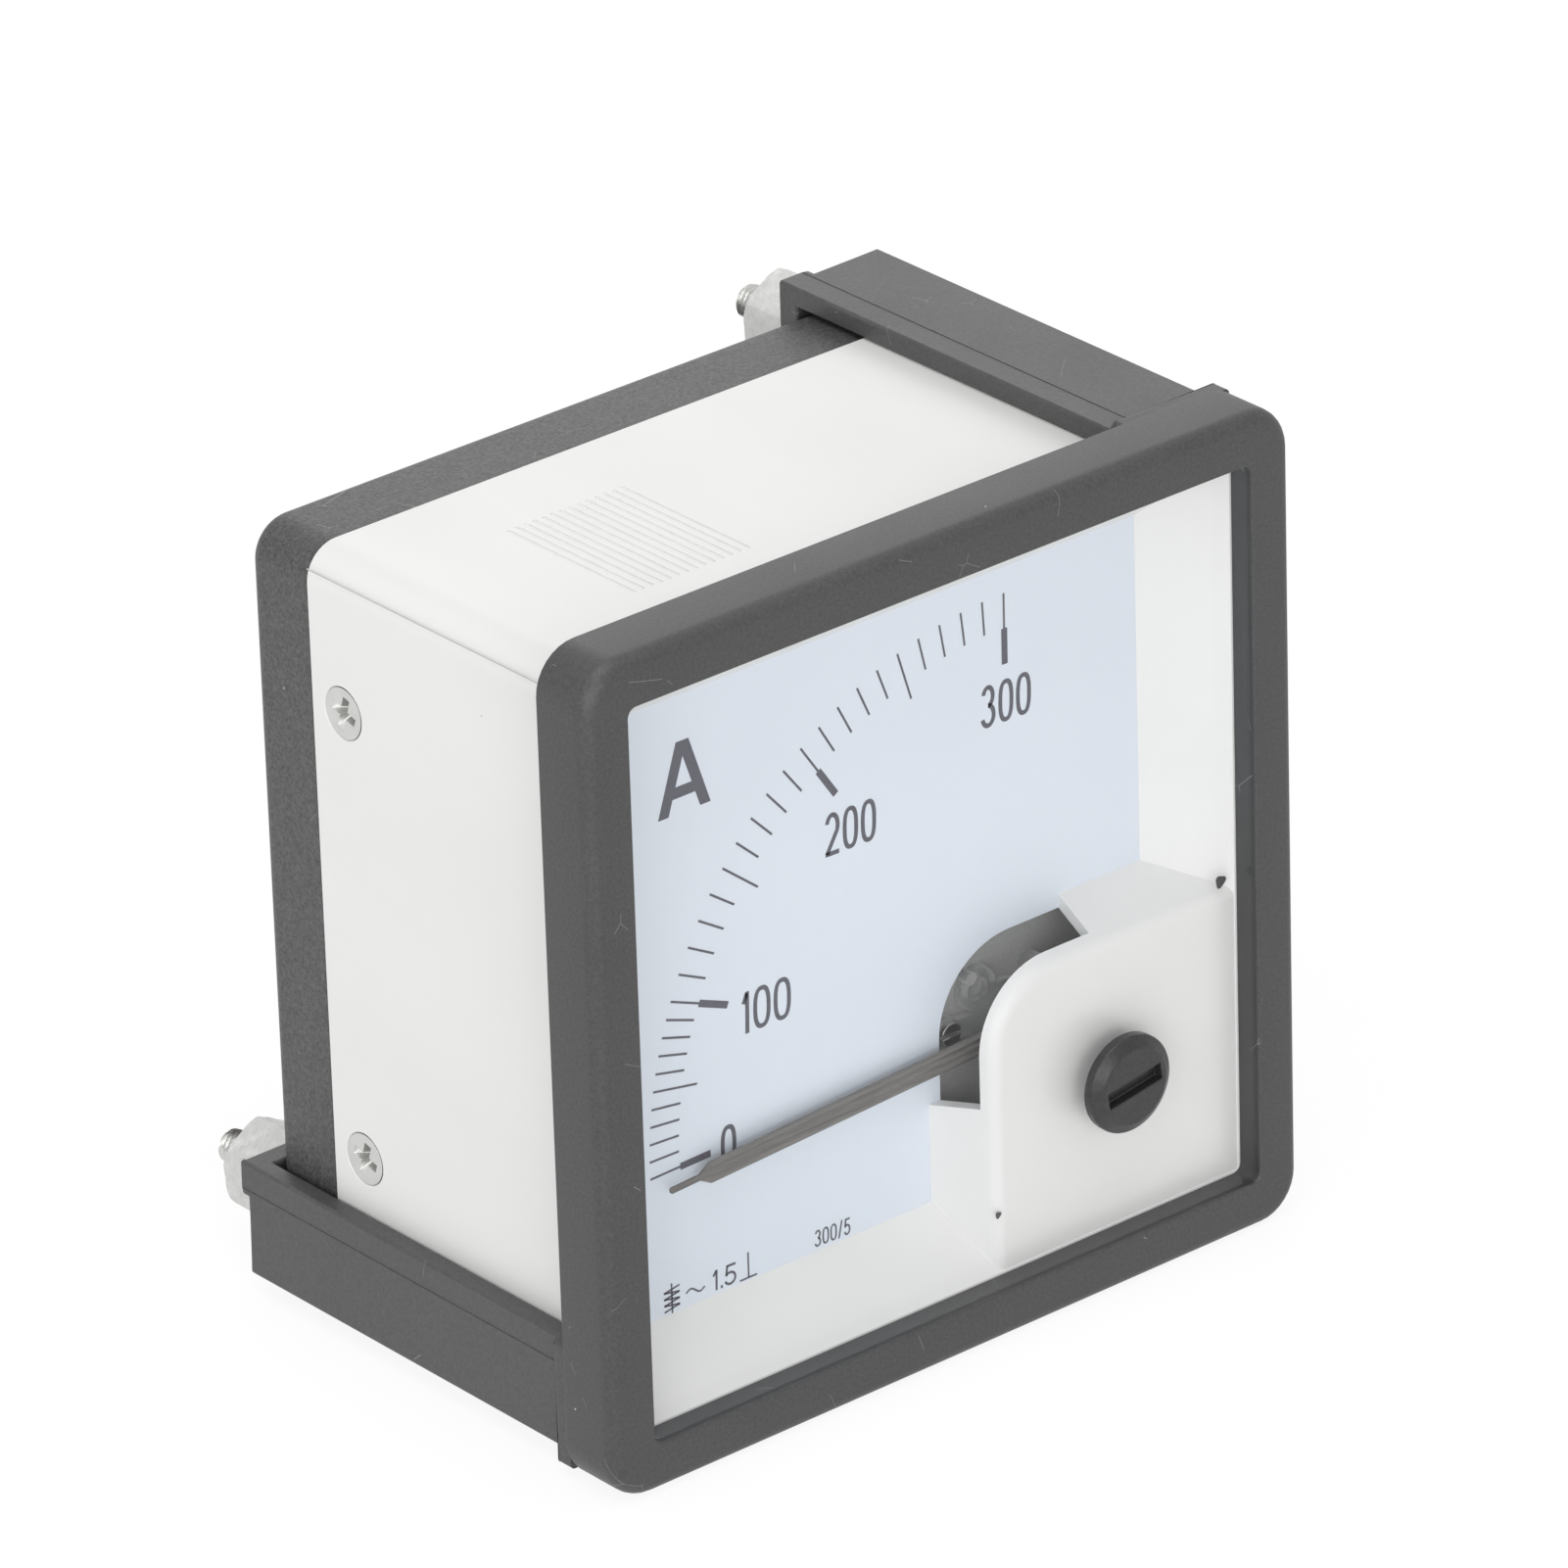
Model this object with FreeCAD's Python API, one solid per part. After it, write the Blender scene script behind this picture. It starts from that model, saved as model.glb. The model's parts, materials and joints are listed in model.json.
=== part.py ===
import FreeCAD, Part
import math
import os

# Square moving-iron panel ammeter, 72 mm flange size, modelled in millimetres.
# Frame: X to the right seen from the front, Y into the panel, Z up.
# The origin is the centre of the flange's rear face, the face that bears on the panel.

V = FreeCAD.Vector
AXIS_Y = V(0, 1, 0)
ORIGIN = V(0, 0, 0)

# Front flange, or bezel
bezel_size = 72.0
bezel_depth = 6.0
bezel_corner_r = 3.8
bezel_edge_r = 1.4
bezel_frame = 4.25
bezel_lip_chamfer = 0.2
opening_corner_r = 0.8
bezel_fit = 0.2
relief_depth = 0.3
relief_length = 16.0
snap_length = 18.0
snap_height = 0.4
snap_width = 0.8
snap_inset = 0.9
snap_clearance = 0.1

# White case, open at both ends
case_inset = 3.5
case_corner_r = 3.0
case_wall = 1.5
case_length = 32.3
seam_drop = 1.7
seam_width = 0.2
seam_depth = 0.12
grip_count = 14
grip_left = -19.0
grip_right = -7.5
grip_front = 8.5
grip_back_inset = 8.3
grip_width = 0.3
grip_depth = 0.12

# Window pane and dial mask
pane_recess = 0.5
pane_thickness = 2.0
pane_fit = 0.1
pane_seat = 0.1
flange_thickness = 2.0
funnel_draft = 5.3
dial_depth = 8.07
mask_skirt_fit = 0.1
mask_wall = 1.2
rim_width = 1.7
block_left_reach = 6.62
block_top_reach = 7.14
block_draft = 2.2
block_edge_r = 1.2
block_corner_r = 6.5
block_plate = 1.25
block_recess = 0.05
gate_bottom_reach = 4.5
gate_right_reach = 5.18
gate_draft = 0.75

# Dial plate
dial_thickness = 0.5
dial_overlap = 1.3
dial_gap_r = 7.5

# Pointer and its axis
pivot_right_inset = 13.89
pivot_bottom_inset = 13.18
pointer_zero_deg = 182.6
pointer_plane = 0.9
pointer_thickness = 0.22
pointer_rib = 0.16
pointer_width = 1.95
pointer_tip_length = 2.95
pointer_taper = 1.1
pointer_tip_margin = 2.55
pointer_tip_width = 0.5
pointer_tail = 6.6
hub_r = 1.3
hub_front = -0.05
hub_back = 1.2
weight_height = 1.95
weight_pitch = 5.2
aluminium_density = 2.7
brass_density = 8.5
steel_density = 7.85

# Spindle, pivots and jewels
spindle_r = 0.5
spindle_tip_r = 0.12
spindle_cone = 0.3
spindle_front = -0.85
jewel_gap = 0.05
jewel_screw_r = 1.1
jewel_head = 0.35
jewel_stand_out = 0.15
collet_r = 0.85

# Front bridge over the pointer
bridge_front = -1.9
bridge_thickness = 0.8
bridge_width = 3.6
bridge_reach = 4.7
bridge_leg_r = 1.1
bridge_angle_deg = 45.0

# Zero adjuster
zero_right_of_pivot = 4.94
zero_below_pivot = 4.36
zero_head_r = 4.2
zero_head_thickness = 1.5
zero_head_bevel = 0.9
zero_head_bevel_depth = 0.65
zero_head_gap = 0.1
zero_shaft_r = 1.6
zero_shaft_fit = 0.1
zero_slot_length = 5.6
zero_slot_width = 1.45
zero_slot_depth = 0.9
zero_slot_deg = 9.0
zero_pin_r = 0.45
zero_pin_offset = 1.2
zero_pin_end = 0.15
zero_collar_r = 2.1
zero_collar_gap = 0.1
zero_collar_thickness = 0.3
lever_thickness = 0.35
lever_gap = 0.05
lever_ring_r = 2.3
lever_arm_width = 1.1
fork_width = 2.4
fork_clearance = 0.1
fork_depth = 2.4
fork_web = 0.3
spring_stud_length = 0.5
spring_stud_width = 0.8

# Hairspring
hairspring_turns = 3.0
hairspring_outer_r = 3.3
hairspring_strip = 0.14
hairspring_height = 0.3
hairspring_gap = 0.12

# Air damper
plate_depth = 3.9
plate_thickness = 1.0
plate_margin = 0.6
chamber_r = 11.0
chamber_wall = 0.9
chamber_floor = 0.8
chamber_depth = 3.1
chamber_start_deg = -101.0
chamber_end_deg = 12.0
chamber_hub_r = 2.1
lid_thickness = 0.8
lid_margin = 1.0
lid_hole_r = 1.0
lid_hook_deg = 128.0
lid_hook_reach = 6.0
lid_lug_deg = 175.0
lid_lug_reach = 5.9
lid_lug_r = 1.3
lid_arm_width = 1.8
lid_hook_r = 1.9
lid_hook_hole_r = 1.0
lid_tooth_r = 0.55
lid_tooth_height = 0.6
lid_screw_r = 0.5
lid_screw_head_r = 1.0
lid_screw_head = 0.6
small_slot_width = 0.3
small_slot_depth = 0.3
vane_thickness = 0.25
vane_clearance = 0.35
vane_inner_r = 3.0

# Coil and irons
coil_front = 9.2
coil_flange = 0.8
coil_length = 10.8
former_inner_r = 5.2
former_wall = 0.8
former_flange_r = 10.9
winding_outer_r = 10.5
winding_turns = 7
winding_bulge = 0.35
fixed_iron_thickness = 0.4
fixed_iron_span_deg = 110.0
fixed_iron_lead_deg = 20.0
moving_iron_r = 3.7
moving_iron_thickness = 0.35
moving_iron_span_deg = 60.0
iron_margin = 1.6
iron_gap = 0.05
iron_sleeve_r = 0.9

# Movement frame
rear_bridge_thickness = 1.6
pillar_clearance = 0.3
pillar_r = 1.6
frame_screw_r = 1.0
frame_screw_head_r = 1.5
frame_screw_head = 0.9
frame_screw_length = 3.0
frame_slot_width = 0.4
frame_slot_depth = 0.4

# Rear cover
cover_inset = 0.3
cover_corner_r = 3.4
cover_depth = 7.9
cover_gap = 0.35
cover_edge_r = 1.5
cover_plate = 2.5
lip_length = 2.8
lip_wall = 1.5
lip_fit = 0.1
lug_width = 7.0
lug_thickness = 4.4
lug_length = 7.7

# Countersunk case screws
case_screw_from_cover = 3.8
case_screw_inset = 12.9
screw_head_r = 2.2
screw_head_depth = 1.2
screw_shaft_r = 1.2
screw_length = 5.2
screw_sink = 0.03
screw_hole_fit = 0.12
recess_arm = 1.45
recess_width = 0.8
recess_depth = 1.1
recess_floor_arm = 0.55
recess_floor_width = 0.35
recess_turn_deg = 17.0

# Clamp rails, studs and nuts
rail_reach = 10.0
rail_wall = 1.8
rail_fit = 0.1
rail_front = 0.4
rail_end_plate = 2.1
rail_end_gap = 0.1
rail_edge_r = 0.4
rail_step_width = 2.4
rail_step_depth = 0.05
rail_notch_length = 7.0
rail_notch_depth = 0.8
foot_length = 1.6
foot_height = 0.8
foot_relief_r = 0.6
clamp_stud_inset = 4.0
clamp_stud_r = 1.5
clamp_stud_proud = 3.9
clamp_stud_fit = 0.25
clamp_boss_r = 3.3
clamp_boss_setback = 0.9
clamp_boss_floor = 0.8
clamp_nut_width = 7.2
clamp_nut_height = 5.4
clamp_nut_upper_deg = 29.0
clamp_nut_lower_deg = 33.0
nut_chamfer_slope = 0.6
thread_fit = 0.02
tip_chamfer = 0.5

# Terminals
terminal_right_of_pivot = 3.44
terminal_z = 0.0
terminal_r = 2.0
terminal_proud = 4.8
terminal_inner_proud = 0.8
terminal_flange_r = 4.5
terminal_flange = 1.5
terminal_pad_r = 7.0
terminal_pad = 0.8
lug_ring_r = 4.0
lug_ring = 0.8
inner_nut_height = 2.8
lock_nut_height = 2.2
terminal_nut_height = 3.2
terminal_nut_width = 7.0
flat_washer_r = 4.4
flat_washer = 0.8
spring_washer_r = 3.6
spring_washer = 1.0
spring_washer_gap = 0.7
washer_fit = 0.15
lead_r = 0.8
lead_start_y = 15.0
lead_stand_off = 4.5
lead_bend_r = 1.8
lug_tab_reach = 6.2
lug_tab_width = 3.2

# Sizes worked out from the driving dimensions
bezel_half = bezel_size / 2
case_half = bezel_half - case_inset
case_inner_half = case_half - case_wall
inner_corner_r = max(case_corner_r - case_wall, 0.2)
pocket_half = case_half + bezel_fit
opening_half = bezel_half - bezel_frame
window_half = opening_half - pane_fit
funnel_half = window_half - pane_seat
seam_height = case_half - seam_drop
case_screw_z = case_half - case_screw_inset
clamp_stud_place = case_half - clamp_stud_inset
front_y = -bezel_depth
pane_front = front_y + pane_recess
mask_front = pane_front + pane_thickness
block_front = mask_front + block_recess
block_plate_back = block_front + block_plate
case_front = mask_front + flange_thickness
dial_y = front_y + dial_depth
dial_back = dial_y + dial_thickness
dial_half = opening_half - funnel_draft
grip_back = case_length - grip_back_inset
pivot_x = dial_half - pivot_right_inset
pivot_z = pivot_bottom_inset - dial_half
pointer_tip_r = pivot_x + dial_half - pointer_tip_margin
pointer_bar_end = pointer_tip_r - pointer_tip_length - pointer_taper
zero_x = pivot_x + zero_right_of_pivot
zero_z = pivot_z - zero_below_pivot
plate_back = plate_depth + plate_thickness
head_circle_r = chamber_r + lid_margin + frame_screw_head_r
pillar_circle_r = former_flange_r + pillar_r
pillar_reach = max(head_circle_r, pillar_circle_r) + pillar_clearance
chamber_back = plate_back + chamber_depth
bridge_back = bridge_front + bridge_thickness
lid_front = plate_depth - lid_thickness
coil_back = coil_front + coil_length
rear_bridge_back = coil_back + rear_bridge_thickness
spindle_back = coil_back - jewel_gap - spindle_cone
cover_front = case_length
cover_back = cover_front + cover_depth
cover_half = case_half - cover_inset
lug_front = cover_front - lug_length
case_screw_y = cover_front - case_screw_from_cover
clamp_boss_front = cover_front + clamp_boss_setback
cover_inner_back = cover_back - cover_plate
lip_half = case_inner_half - lip_fit
rail_inner = case_half + rail_fit
rail_outer = rail_inner + rail_wall
rail_edge = rail_outer - rail_reach
rail_notch_start = rail_outer - rail_notch_length
rail_back = cover_back + rail_end_gap + rail_end_plate
clamp_stud_end = rail_back + clamp_nut_height + clamp_stud_proud
pad_back = cover_back + terminal_pad
lock_nut_back = pad_back + lock_nut_height
flat_washer_back = lock_nut_back + flat_washer
spring_washer_back = flat_washer_back + spring_washer
terminal_x = pivot_x + terminal_right_of_pivot
terminal_end = spring_washer_back + terminal_nut_height + terminal_proud
terminal_flange_front = cover_inner_back - terminal_flange
inner_nut_front = terminal_flange_front - lug_ring - inner_nut_height
terminal_inner_end = inner_nut_front - terminal_inner_proud
block_left_front = pivot_x - block_left_reach
block_top_front = pivot_z + block_top_reach
block_left_rear = block_left_front - block_draft
block_top_rear = block_top_front + block_draft
block_slope = block_draft / (dial_y - mask_front)
gate_bottom = pivot_z - gate_bottom_reach
gate_right = pivot_x + gate_right_reach
lever_front = bridge_back + lever_gap
lever_back = lever_front + lever_thickness


def box(x0, x1, y0, y1, z0, z1):
    return Part.makeBox(x1 - x0, y1 - y0, z1 - z0, V(x0, y0, z0))


def disc(radius, y0, y1, x=0.0, z=0.0):
    """A round bar along Y."""
    return Part.makeCylinder(radius, y1 - y0, V(x, y0, z), AXIS_Y)


def cone(r0, r1, y0, y1, x=0.0, z=0.0):
    return Part.makeCone(r0, r1, y1 - y0, V(x, y0, z), AXIS_Y)


def ring(outer, inner, y0, y1, x=0.0, z=0.0):
    return disc(outer, y0, y1, x, z).cut(disc(inner, y0, y1, x, z))


def polar(radius, angle_deg, x=pivot_x, z=pivot_z):
    """The X and Z of a point at an angle counted from +X towards +Z."""
    a = math.radians(angle_deg)
    return x + radius * math.cos(a), z + radius * math.sin(a)


def rounded_rect(x0, x1, z0, z1, r, y):
    """Closed outline in a plane of constant Y, corners rounded with arcs."""
    if r <= 0:
        corners = [V(x0, y, z0), V(x1, y, z0), V(x1, y, z1), V(x0, y, z1), V(x0, y, z0)]
        return Part.makePolygon(corners)
    k = r * (1 - math.sqrt(0.5))
    edges = [
        Part.LineSegment(V(x0 + r, y, z0), V(x1 - r, y, z0)).toShape(),
        Part.Arc(V(x1 - r, y, z0), V(x1 - k, y, z0 + k), V(x1, y, z0 + r)).toShape(),
        Part.LineSegment(V(x1, y, z0 + r), V(x1, y, z1 - r)).toShape(),
        Part.Arc(V(x1, y, z1 - r), V(x1 - k, y, z1 - k), V(x1 - r, y, z1)).toShape(),
        Part.LineSegment(V(x1 - r, y, z1), V(x0 + r, y, z1)).toShape(),
        Part.Arc(V(x0 + r, y, z1), V(x0 + k, y, z1 - k), V(x0, y, z1 - r)).toShape(),
        Part.LineSegment(V(x0, y, z1 - r), V(x0, y, z0 + r)).toShape(),
        Part.Arc(V(x0, y, z0 + r), V(x0 + k, y, z0 + k), V(x0 + r, y, z0)).toShape(),
    ]
    return Part.Wire(edges)


def plate(x0, x1, z0, z1, r, y0, y1):
    return Part.Face(rounded_rect(x0, x1, z0, z1, r, y0)).extrude(V(0, y1 - y0, 0))


def square(half, r, y0, y1):
    return plate(-half, half, -half, half, r, y0, y1)


def taper(front, y0, rear, y1):
    """Straight-sided block between two rectangles given as (x0, x1, z0, z1)."""
    wires = [rounded_rect(*front, 0, y0), rounded_rect(*rear, 0, y1)]
    return Part.makeLoft(wires, True, True)


def hexagon(width, y0, y1, x, z, turn_deg=0.0):
    """Hexagonal bar along Y with the given width across flats."""
    radius = width / math.sqrt(3)
    points = []
    for i in range(7):
        px, pz = polar(radius, turn_deg + 60 * i, x, z)
        points.append(V(px, y0, pz))
    return Part.Face(Part.makePolygon(points)).extrude(V(0, y1 - y0, 0))


def hex_nut(width, bore_r, y0, y1, x, z, turn_deg=0.0):
    """Hexagon nut with its corners turned off at the outer end."""
    corner = width / math.sqrt(3)
    bevel = corner - width / 2
    drop = bevel * nut_chamfer_slope
    blank = hexagon(width, y0, y1, x, z, turn_deg)
    barrel = disc(corner, y0, y1 - drop, x, z)
    outer_end = cone(corner, corner - bevel, y1 - drop, y1, x, z)
    return blank.common(barrel.fuse(outer_end)).cut(disc(bore_r, y0, y1, x, z))


def bar_along(angle_deg, r0, r1, width, y0, y1):
    """Flat bar lying along a ray from the pivot."""
    bar = box(r0, r1, y0, y1, -width / 2, width / 2)
    bar.rotate(ORIGIN, AXIS_Y, -angle_deg)
    bar.translate(V(pivot_x, 0, pivot_z))
    return bar


def sector(radius, start_deg, end_deg, y0, y1):
    """Wedge of a disc about the pivot, angles from +X towards +Z."""
    wedge = Part.makeCylinder(radius, y1 - y0, V(0, 0, 0), V(0, 0, 1), end_deg - start_deg)
    wedge.rotate(ORIGIN, V(1, 0, 0), 90)
    wedge.rotate(ORIGIN, AXIS_Y, -start_deg)
    wedge.translate(V(pivot_x, y1, pivot_z))
    return wedge


def half_turn(shape):
    """The same piece at the diagonally opposite corner."""
    copy = shape.copy()
    copy.rotate(ORIGIN, AXIS_Y, 180)
    return copy


def edges_where(shape, test):
    return [e for e in shape.Edges if test(e)]


def at_y(edge, y):
    bb = edge.BoundBox
    return abs(bb.YMin - y) < 1e-5 and abs(bb.YMax - y) < 1e-5


def one(shape):
    """Merge faces left split by the cuts, and unwrap a single solid."""
    merged = shape.removeSplitter()
    return merged.Solids[0] if len(merged.Solids) == 1 else merged


def snap_ribs(extra):
    """Four half-round ribs, one per side, that hold the case in the bezel."""
    rib_y = case_front + snap_inset
    length = snap_length + 2 * extra
    radius = snap_width / 2 + extra
    reach = case_half - snap_width / 2 + snap_height
    ribs = []
    for turn in range(4):
        rib = Part.makeCylinder(radius, length, V(reach, rib_y, -length / 2), V(0, 0, 1))
        rib.rotate(ORIGIN, AXIS_Y, 90 * turn)
        ribs.append(rib)
    return ribs


def front_bezel():
    body = square(bezel_half, bezel_corner_r, front_y, 0)
    body = body.makeFillet(bezel_edge_r, edges_where(body, lambda e: at_y(e, front_y)))
    body = body.cut(square(opening_half, opening_corner_r, front_y, mask_front))
    body = body.cut(square(pocket_half, case_corner_r + bezel_fit, mask_front, 0))
    chamfered = taper(
        [-opening_half - bezel_lip_chamfer, opening_half + bezel_lip_chamfer] * 2,
        front_y,
        [-opening_half, opening_half] * 2,
        front_y + bezel_lip_chamfer,
    )
    body = body.cut(chamfered)
    body = body.cut(snap_ribs(snap_clearance))
    relief_start = bezel_half - relief_length
    for sign in (1, -1):
        corner = box(relief_start, bezel_half, -relief_depth, 0, relief_start, bezel_half)
        if sign < 0:
            corner = half_turn(corner)
        body = body.cut(corner)
    return one(body)


def case_body():
    shell = square(case_half, case_corner_r, case_front, cover_front)
    shell = shell.cut(square(case_inner_half, inner_corner_r, case_front, cover_front))
    clipped = [r.cut(square(case_inner_half, 0, case_front, cover_front)) for r in snap_ribs(0)]
    shell = shell.fuse(clipped)
    for side in (1, -1):
        x0 = side * case_half
        groove = box(
            x0 - seam_depth,
            x0 + seam_depth,
            case_front,
            cover_front,
            seam_height - seam_width / 2,
            seam_height + seam_width / 2,
        )
        shell = shell.cut(groove)
    pitch = (grip_right - grip_left) / (grip_count - 1)
    grooves = []
    for i in range(grip_count):
        x = grip_left + pitch * i
        groove = box(
            x - grip_width / 2,
            x + grip_width / 2,
            grip_front,
            grip_back,
            case_half - grip_depth,
            case_half + grip_depth,
        )
        grooves.append(groove)
    shell = shell.cut(grooves)
    return one(shell.cut([screw_clearance(x, z) for x, z in screw_places()]))


def screw_places():
    return [(sx, sz * case_screw_z) for sx in (1, -1) for sz in (1, -1)]


def screw_clearance(side, z):
    """Countersink and through hole in a side wall for one screw."""
    fit = screw_hole_fit
    start = V(side * case_half, case_screw_y, z)
    inward = V(-side, 0, 0)
    sink = Part.makeCone(
        screw_head_r + fit, screw_shaft_r + fit, screw_head_depth + fit / 2, start, inward
    )
    hole = Part.makeCylinder(screw_shaft_r + fit, case_wall + fit, start, inward)
    return sink.fuse(hole)


def cross_recess():
    """Cross recess whose arms open at Y = 0 and narrow towards their floor."""
    mouth = (-recess_arm, recess_arm, -recess_width / 2, recess_width / 2)
    floor = (-recess_floor_arm, recess_floor_arm, -recess_floor_width / 2, recess_floor_width / 2)
    arms = taper(mouth, 0, floor, recess_depth)
    across = arms.copy()
    across.rotate(ORIGIN, AXIS_Y, 90)
    return arms.fuse(across)


def case_screw(side, z):
    """Countersunk screw drawn along Y, then turned to point inwards from a side wall."""
    head = cone(screw_head_r, screw_shaft_r, 0, screw_head_depth)
    shaft = disc(screw_shaft_r, 0, screw_length)
    screw = one(head.fuse(shaft).cut(cross_recess()))
    screw.rotate(ORIGIN, AXIS_Y, recess_turn_deg)
    screw.rotate(ORIGIN, V(0, 0, 1), 90 * side)
    screw.translate(V(side * (case_half - screw_sink), case_screw_y, z))
    return screw


def case_screws():
    return Part.makeCompound([case_screw(x, z) for x, z in screw_places()])


def window():
    pane = square(window_half, opening_corner_r, pane_front, mask_front)
    return pane.cut(disc(zero_shaft_r + zero_shaft_fit, pane_front, mask_front, zero_x, zero_z))


def funnel():
    """The open space in front of the dial, a frustum that narrows to the dial."""
    return taper([-funnel_half, funnel_half] * 2, mask_front, [-dial_half, dial_half] * 2, dial_y)


def block_space(inset, y0, y1):
    """Drafted corner block; inset pulls its two free walls in by a wall thickness."""
    far = opening_half

    def rect(y):
        shift = block_slope * (y - mask_front)
        return (block_left_front - shift + inset, far, -far, block_top_front + shift - inset)

    return taper(rect(y0), y0, rect(y1), y1)


def corner_outline(left, top, r, right, bottom, y):
    """Outline of a corner region whose upper left corner is rounded."""
    k = r * (1 - math.sqrt(0.5))
    edges = [
        Part.LineSegment(V(left, y, bottom), V(left, y, top - r)).toShape(),
        Part.Arc(V(left, y, top - r), V(left + k, y, top - k), V(left + r, y, top)).toShape(),
        Part.LineSegment(V(left + r, y, top), V(right, y, top)).toShape(),
        Part.LineSegment(V(right, y, top), V(right, y, bottom)).toShape(),
        Part.LineSegment(V(right, y, bottom), V(left, y, bottom)).toShape(),
    ]
    return Part.Wire(edges)


def block_plate_blank():
    """Front plate of the block; its free sides keep the draft of the walls round the corner."""
    wires = []
    for y in (block_front, block_plate_back):
        shift = block_slope * (y - mask_front)
        left, top = block_left_front - shift, block_top_front + shift
        wires.append(corner_outline(left, top, block_corner_r + shift, opening_half, -opening_half, y))
    return Part.makeLoft(wires, True, True)


def dial_mask():
    flange = square(case_half, case_corner_r, mask_front, case_front)
    skirt_half = case_inner_half - mask_skirt_fit
    rim_half = dial_half + rim_width
    skirt = taper([-skirt_half, skirt_half] * 2, case_front, [-rim_half, rim_half] * 2, dial_y)
    skirt = skirt.common(square(skirt_half, inner_corner_r, case_front, dial_y))
    tray = flange.fuse(skirt).cut(funnel())

    far = opening_half

    def free_edge(e):
        bb = e.BoundBox
        inside = bb.XMin < far - 1 and bb.ZMax > 1 - far
        return at_y(e, block_front) and inside

    # Drafted walls of the corner block, cut away where the pointer passes.
    walls = block_space(0, block_front, dial_y)
    walls = walls.makeFillet(block_edge_r, edges_where(walls, free_edge))
    gate_front = (-far, gate_right - gate_draft, gate_bottom + gate_draft, far)
    gate = taper(gate_front, block_front, (-far, gate_right, gate_bottom, far), dial_y)
    walls = walls.common(funnel()).cut(gate)
    # Over the gate only the front face keeps going, with a round corner about the pivot.
    front = block_plate_blank()
    front = front.makeFillet(block_edge_r, edges_where(front, free_edge)).common(gate)
    front = front.common(funnel())
    block = walls.fuse(front).cut(block_space(mask_wall, block_plate_back, dial_y))
    mask = tray.fuse(block)
    hole_r = zero_shaft_r + zero_shaft_fit
    return one(mask.cut(disc(hole_r, block_front, block_plate_back, zero_x, zero_z)))


def dial_plate():
    half = dial_half + dial_overlap
    blank = square(half, 1.0, dial_y, dial_back)
    left = block_left_rear + mask_wall
    top = block_top_rear - mask_wall
    gap = Part.Face(corner_outline(left, top, dial_gap_r, half, -half, dial_y))
    return blank.cut(gap.extrude(V(0, dial_thickness, 0)))


def pointer():
    y0 = pointer_plane - pointer_thickness / 2
    y1 = pointer_plane + pointer_thickness / 2
    half = pointer_width / 2
    tip = pointer_tip_width / 2
    neck = pointer_bar_end + pointer_taper
    outline = [
        (-pointer_tail, -half * 0.7),
        (0, -half),
        (pointer_bar_end, -half),
        (neck, -tip),
        (pointer_tip_r, -tip),
        (pointer_tip_r, tip),
        (neck, tip),
        (pointer_bar_end, half),
        (0, half),
        (-pointer_tail, half * 0.7),
    ]
    points = [V(x, y0, z) for x, z in outline]
    blade = Part.Face(Part.makePolygon(points + points[:1])).extrude(V(0, y1 - y0, 0))
    rib = pointer_width / 7
    ribs = []
    for place in (-half + rib / 2, 0, half - rib / 2):
        ribs.append(
            box(0, pointer_bar_end - rib, y0 - pointer_rib, y0, place - rib / 2, place + rib / 2)
        )
    hub = disc(hub_r, hub_front, hub_back)
    arrow = blade.fuse(ribs + [hub]).cut(disc(spindle_r, hub_front, hub_back))
    return to_pivot(one(arrow))


def to_pivot(shape):
    """Turn a piece drawn along +X to the pointer's zero line and move it to the pivot."""
    shape.rotate(ORIGIN, AXIS_Y, -pointer_zero_deg)
    shape.translate(V(pivot_x, 0, pivot_z))
    return shape


def spindle():
    front_end = spindle_front + spindle_cone
    back_end = spindle_back
    rod = disc(spindle_r, front_end, back_end)
    tips = [
        cone(spindle_tip_r, spindle_r, spindle_front, front_end),
        cone(spindle_r, spindle_tip_r, back_end, back_end + spindle_cone),
    ]
    shape = rod.fuse(tips)
    shape.translate(V(pivot_x, 0, pivot_z))
    return one(shape)


def curved_sheet(radius, thickness, span_deg, y0, y1):
    """Part of a thin tube, centred on +X."""
    tube = Part.makeCylinder(radius + thickness, y1 - y0, ORIGIN, V(0, 0, 1), span_deg)
    tube = tube.cut(Part.makeCylinder(radius, y1 - y0, ORIGIN, V(0, 0, 1), 360))
    tube.rotate(ORIGIN, V(1, 0, 0), 90)
    tube.rotate(ORIGIN, AXIS_Y, span_deg / 2)
    tube.translate(V(0, y1, 0))
    return tube


def moving_iron():
    y0 = coil_front + coil_flange + iron_margin
    y1 = coil_back - coil_flange - iron_margin
    sheet = curved_sheet(moving_iron_r, moving_iron_thickness, moving_iron_span_deg, y0, y1)
    mid = (y0 + y1) / 2
    arm_half = (y1 - y0) / 4
    strip = box(0, moving_iron_r + moving_iron_thickness / 2, mid - arm_half, mid + arm_half, -0.4, 0.4)
    sleeve = disc(iron_sleeve_r, mid - arm_half, mid + arm_half)
    shape = sheet.fuse([strip, sleeve]).cut(disc(spindle_r, y0, y1))
    return to_pivot(one(shape))


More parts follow.
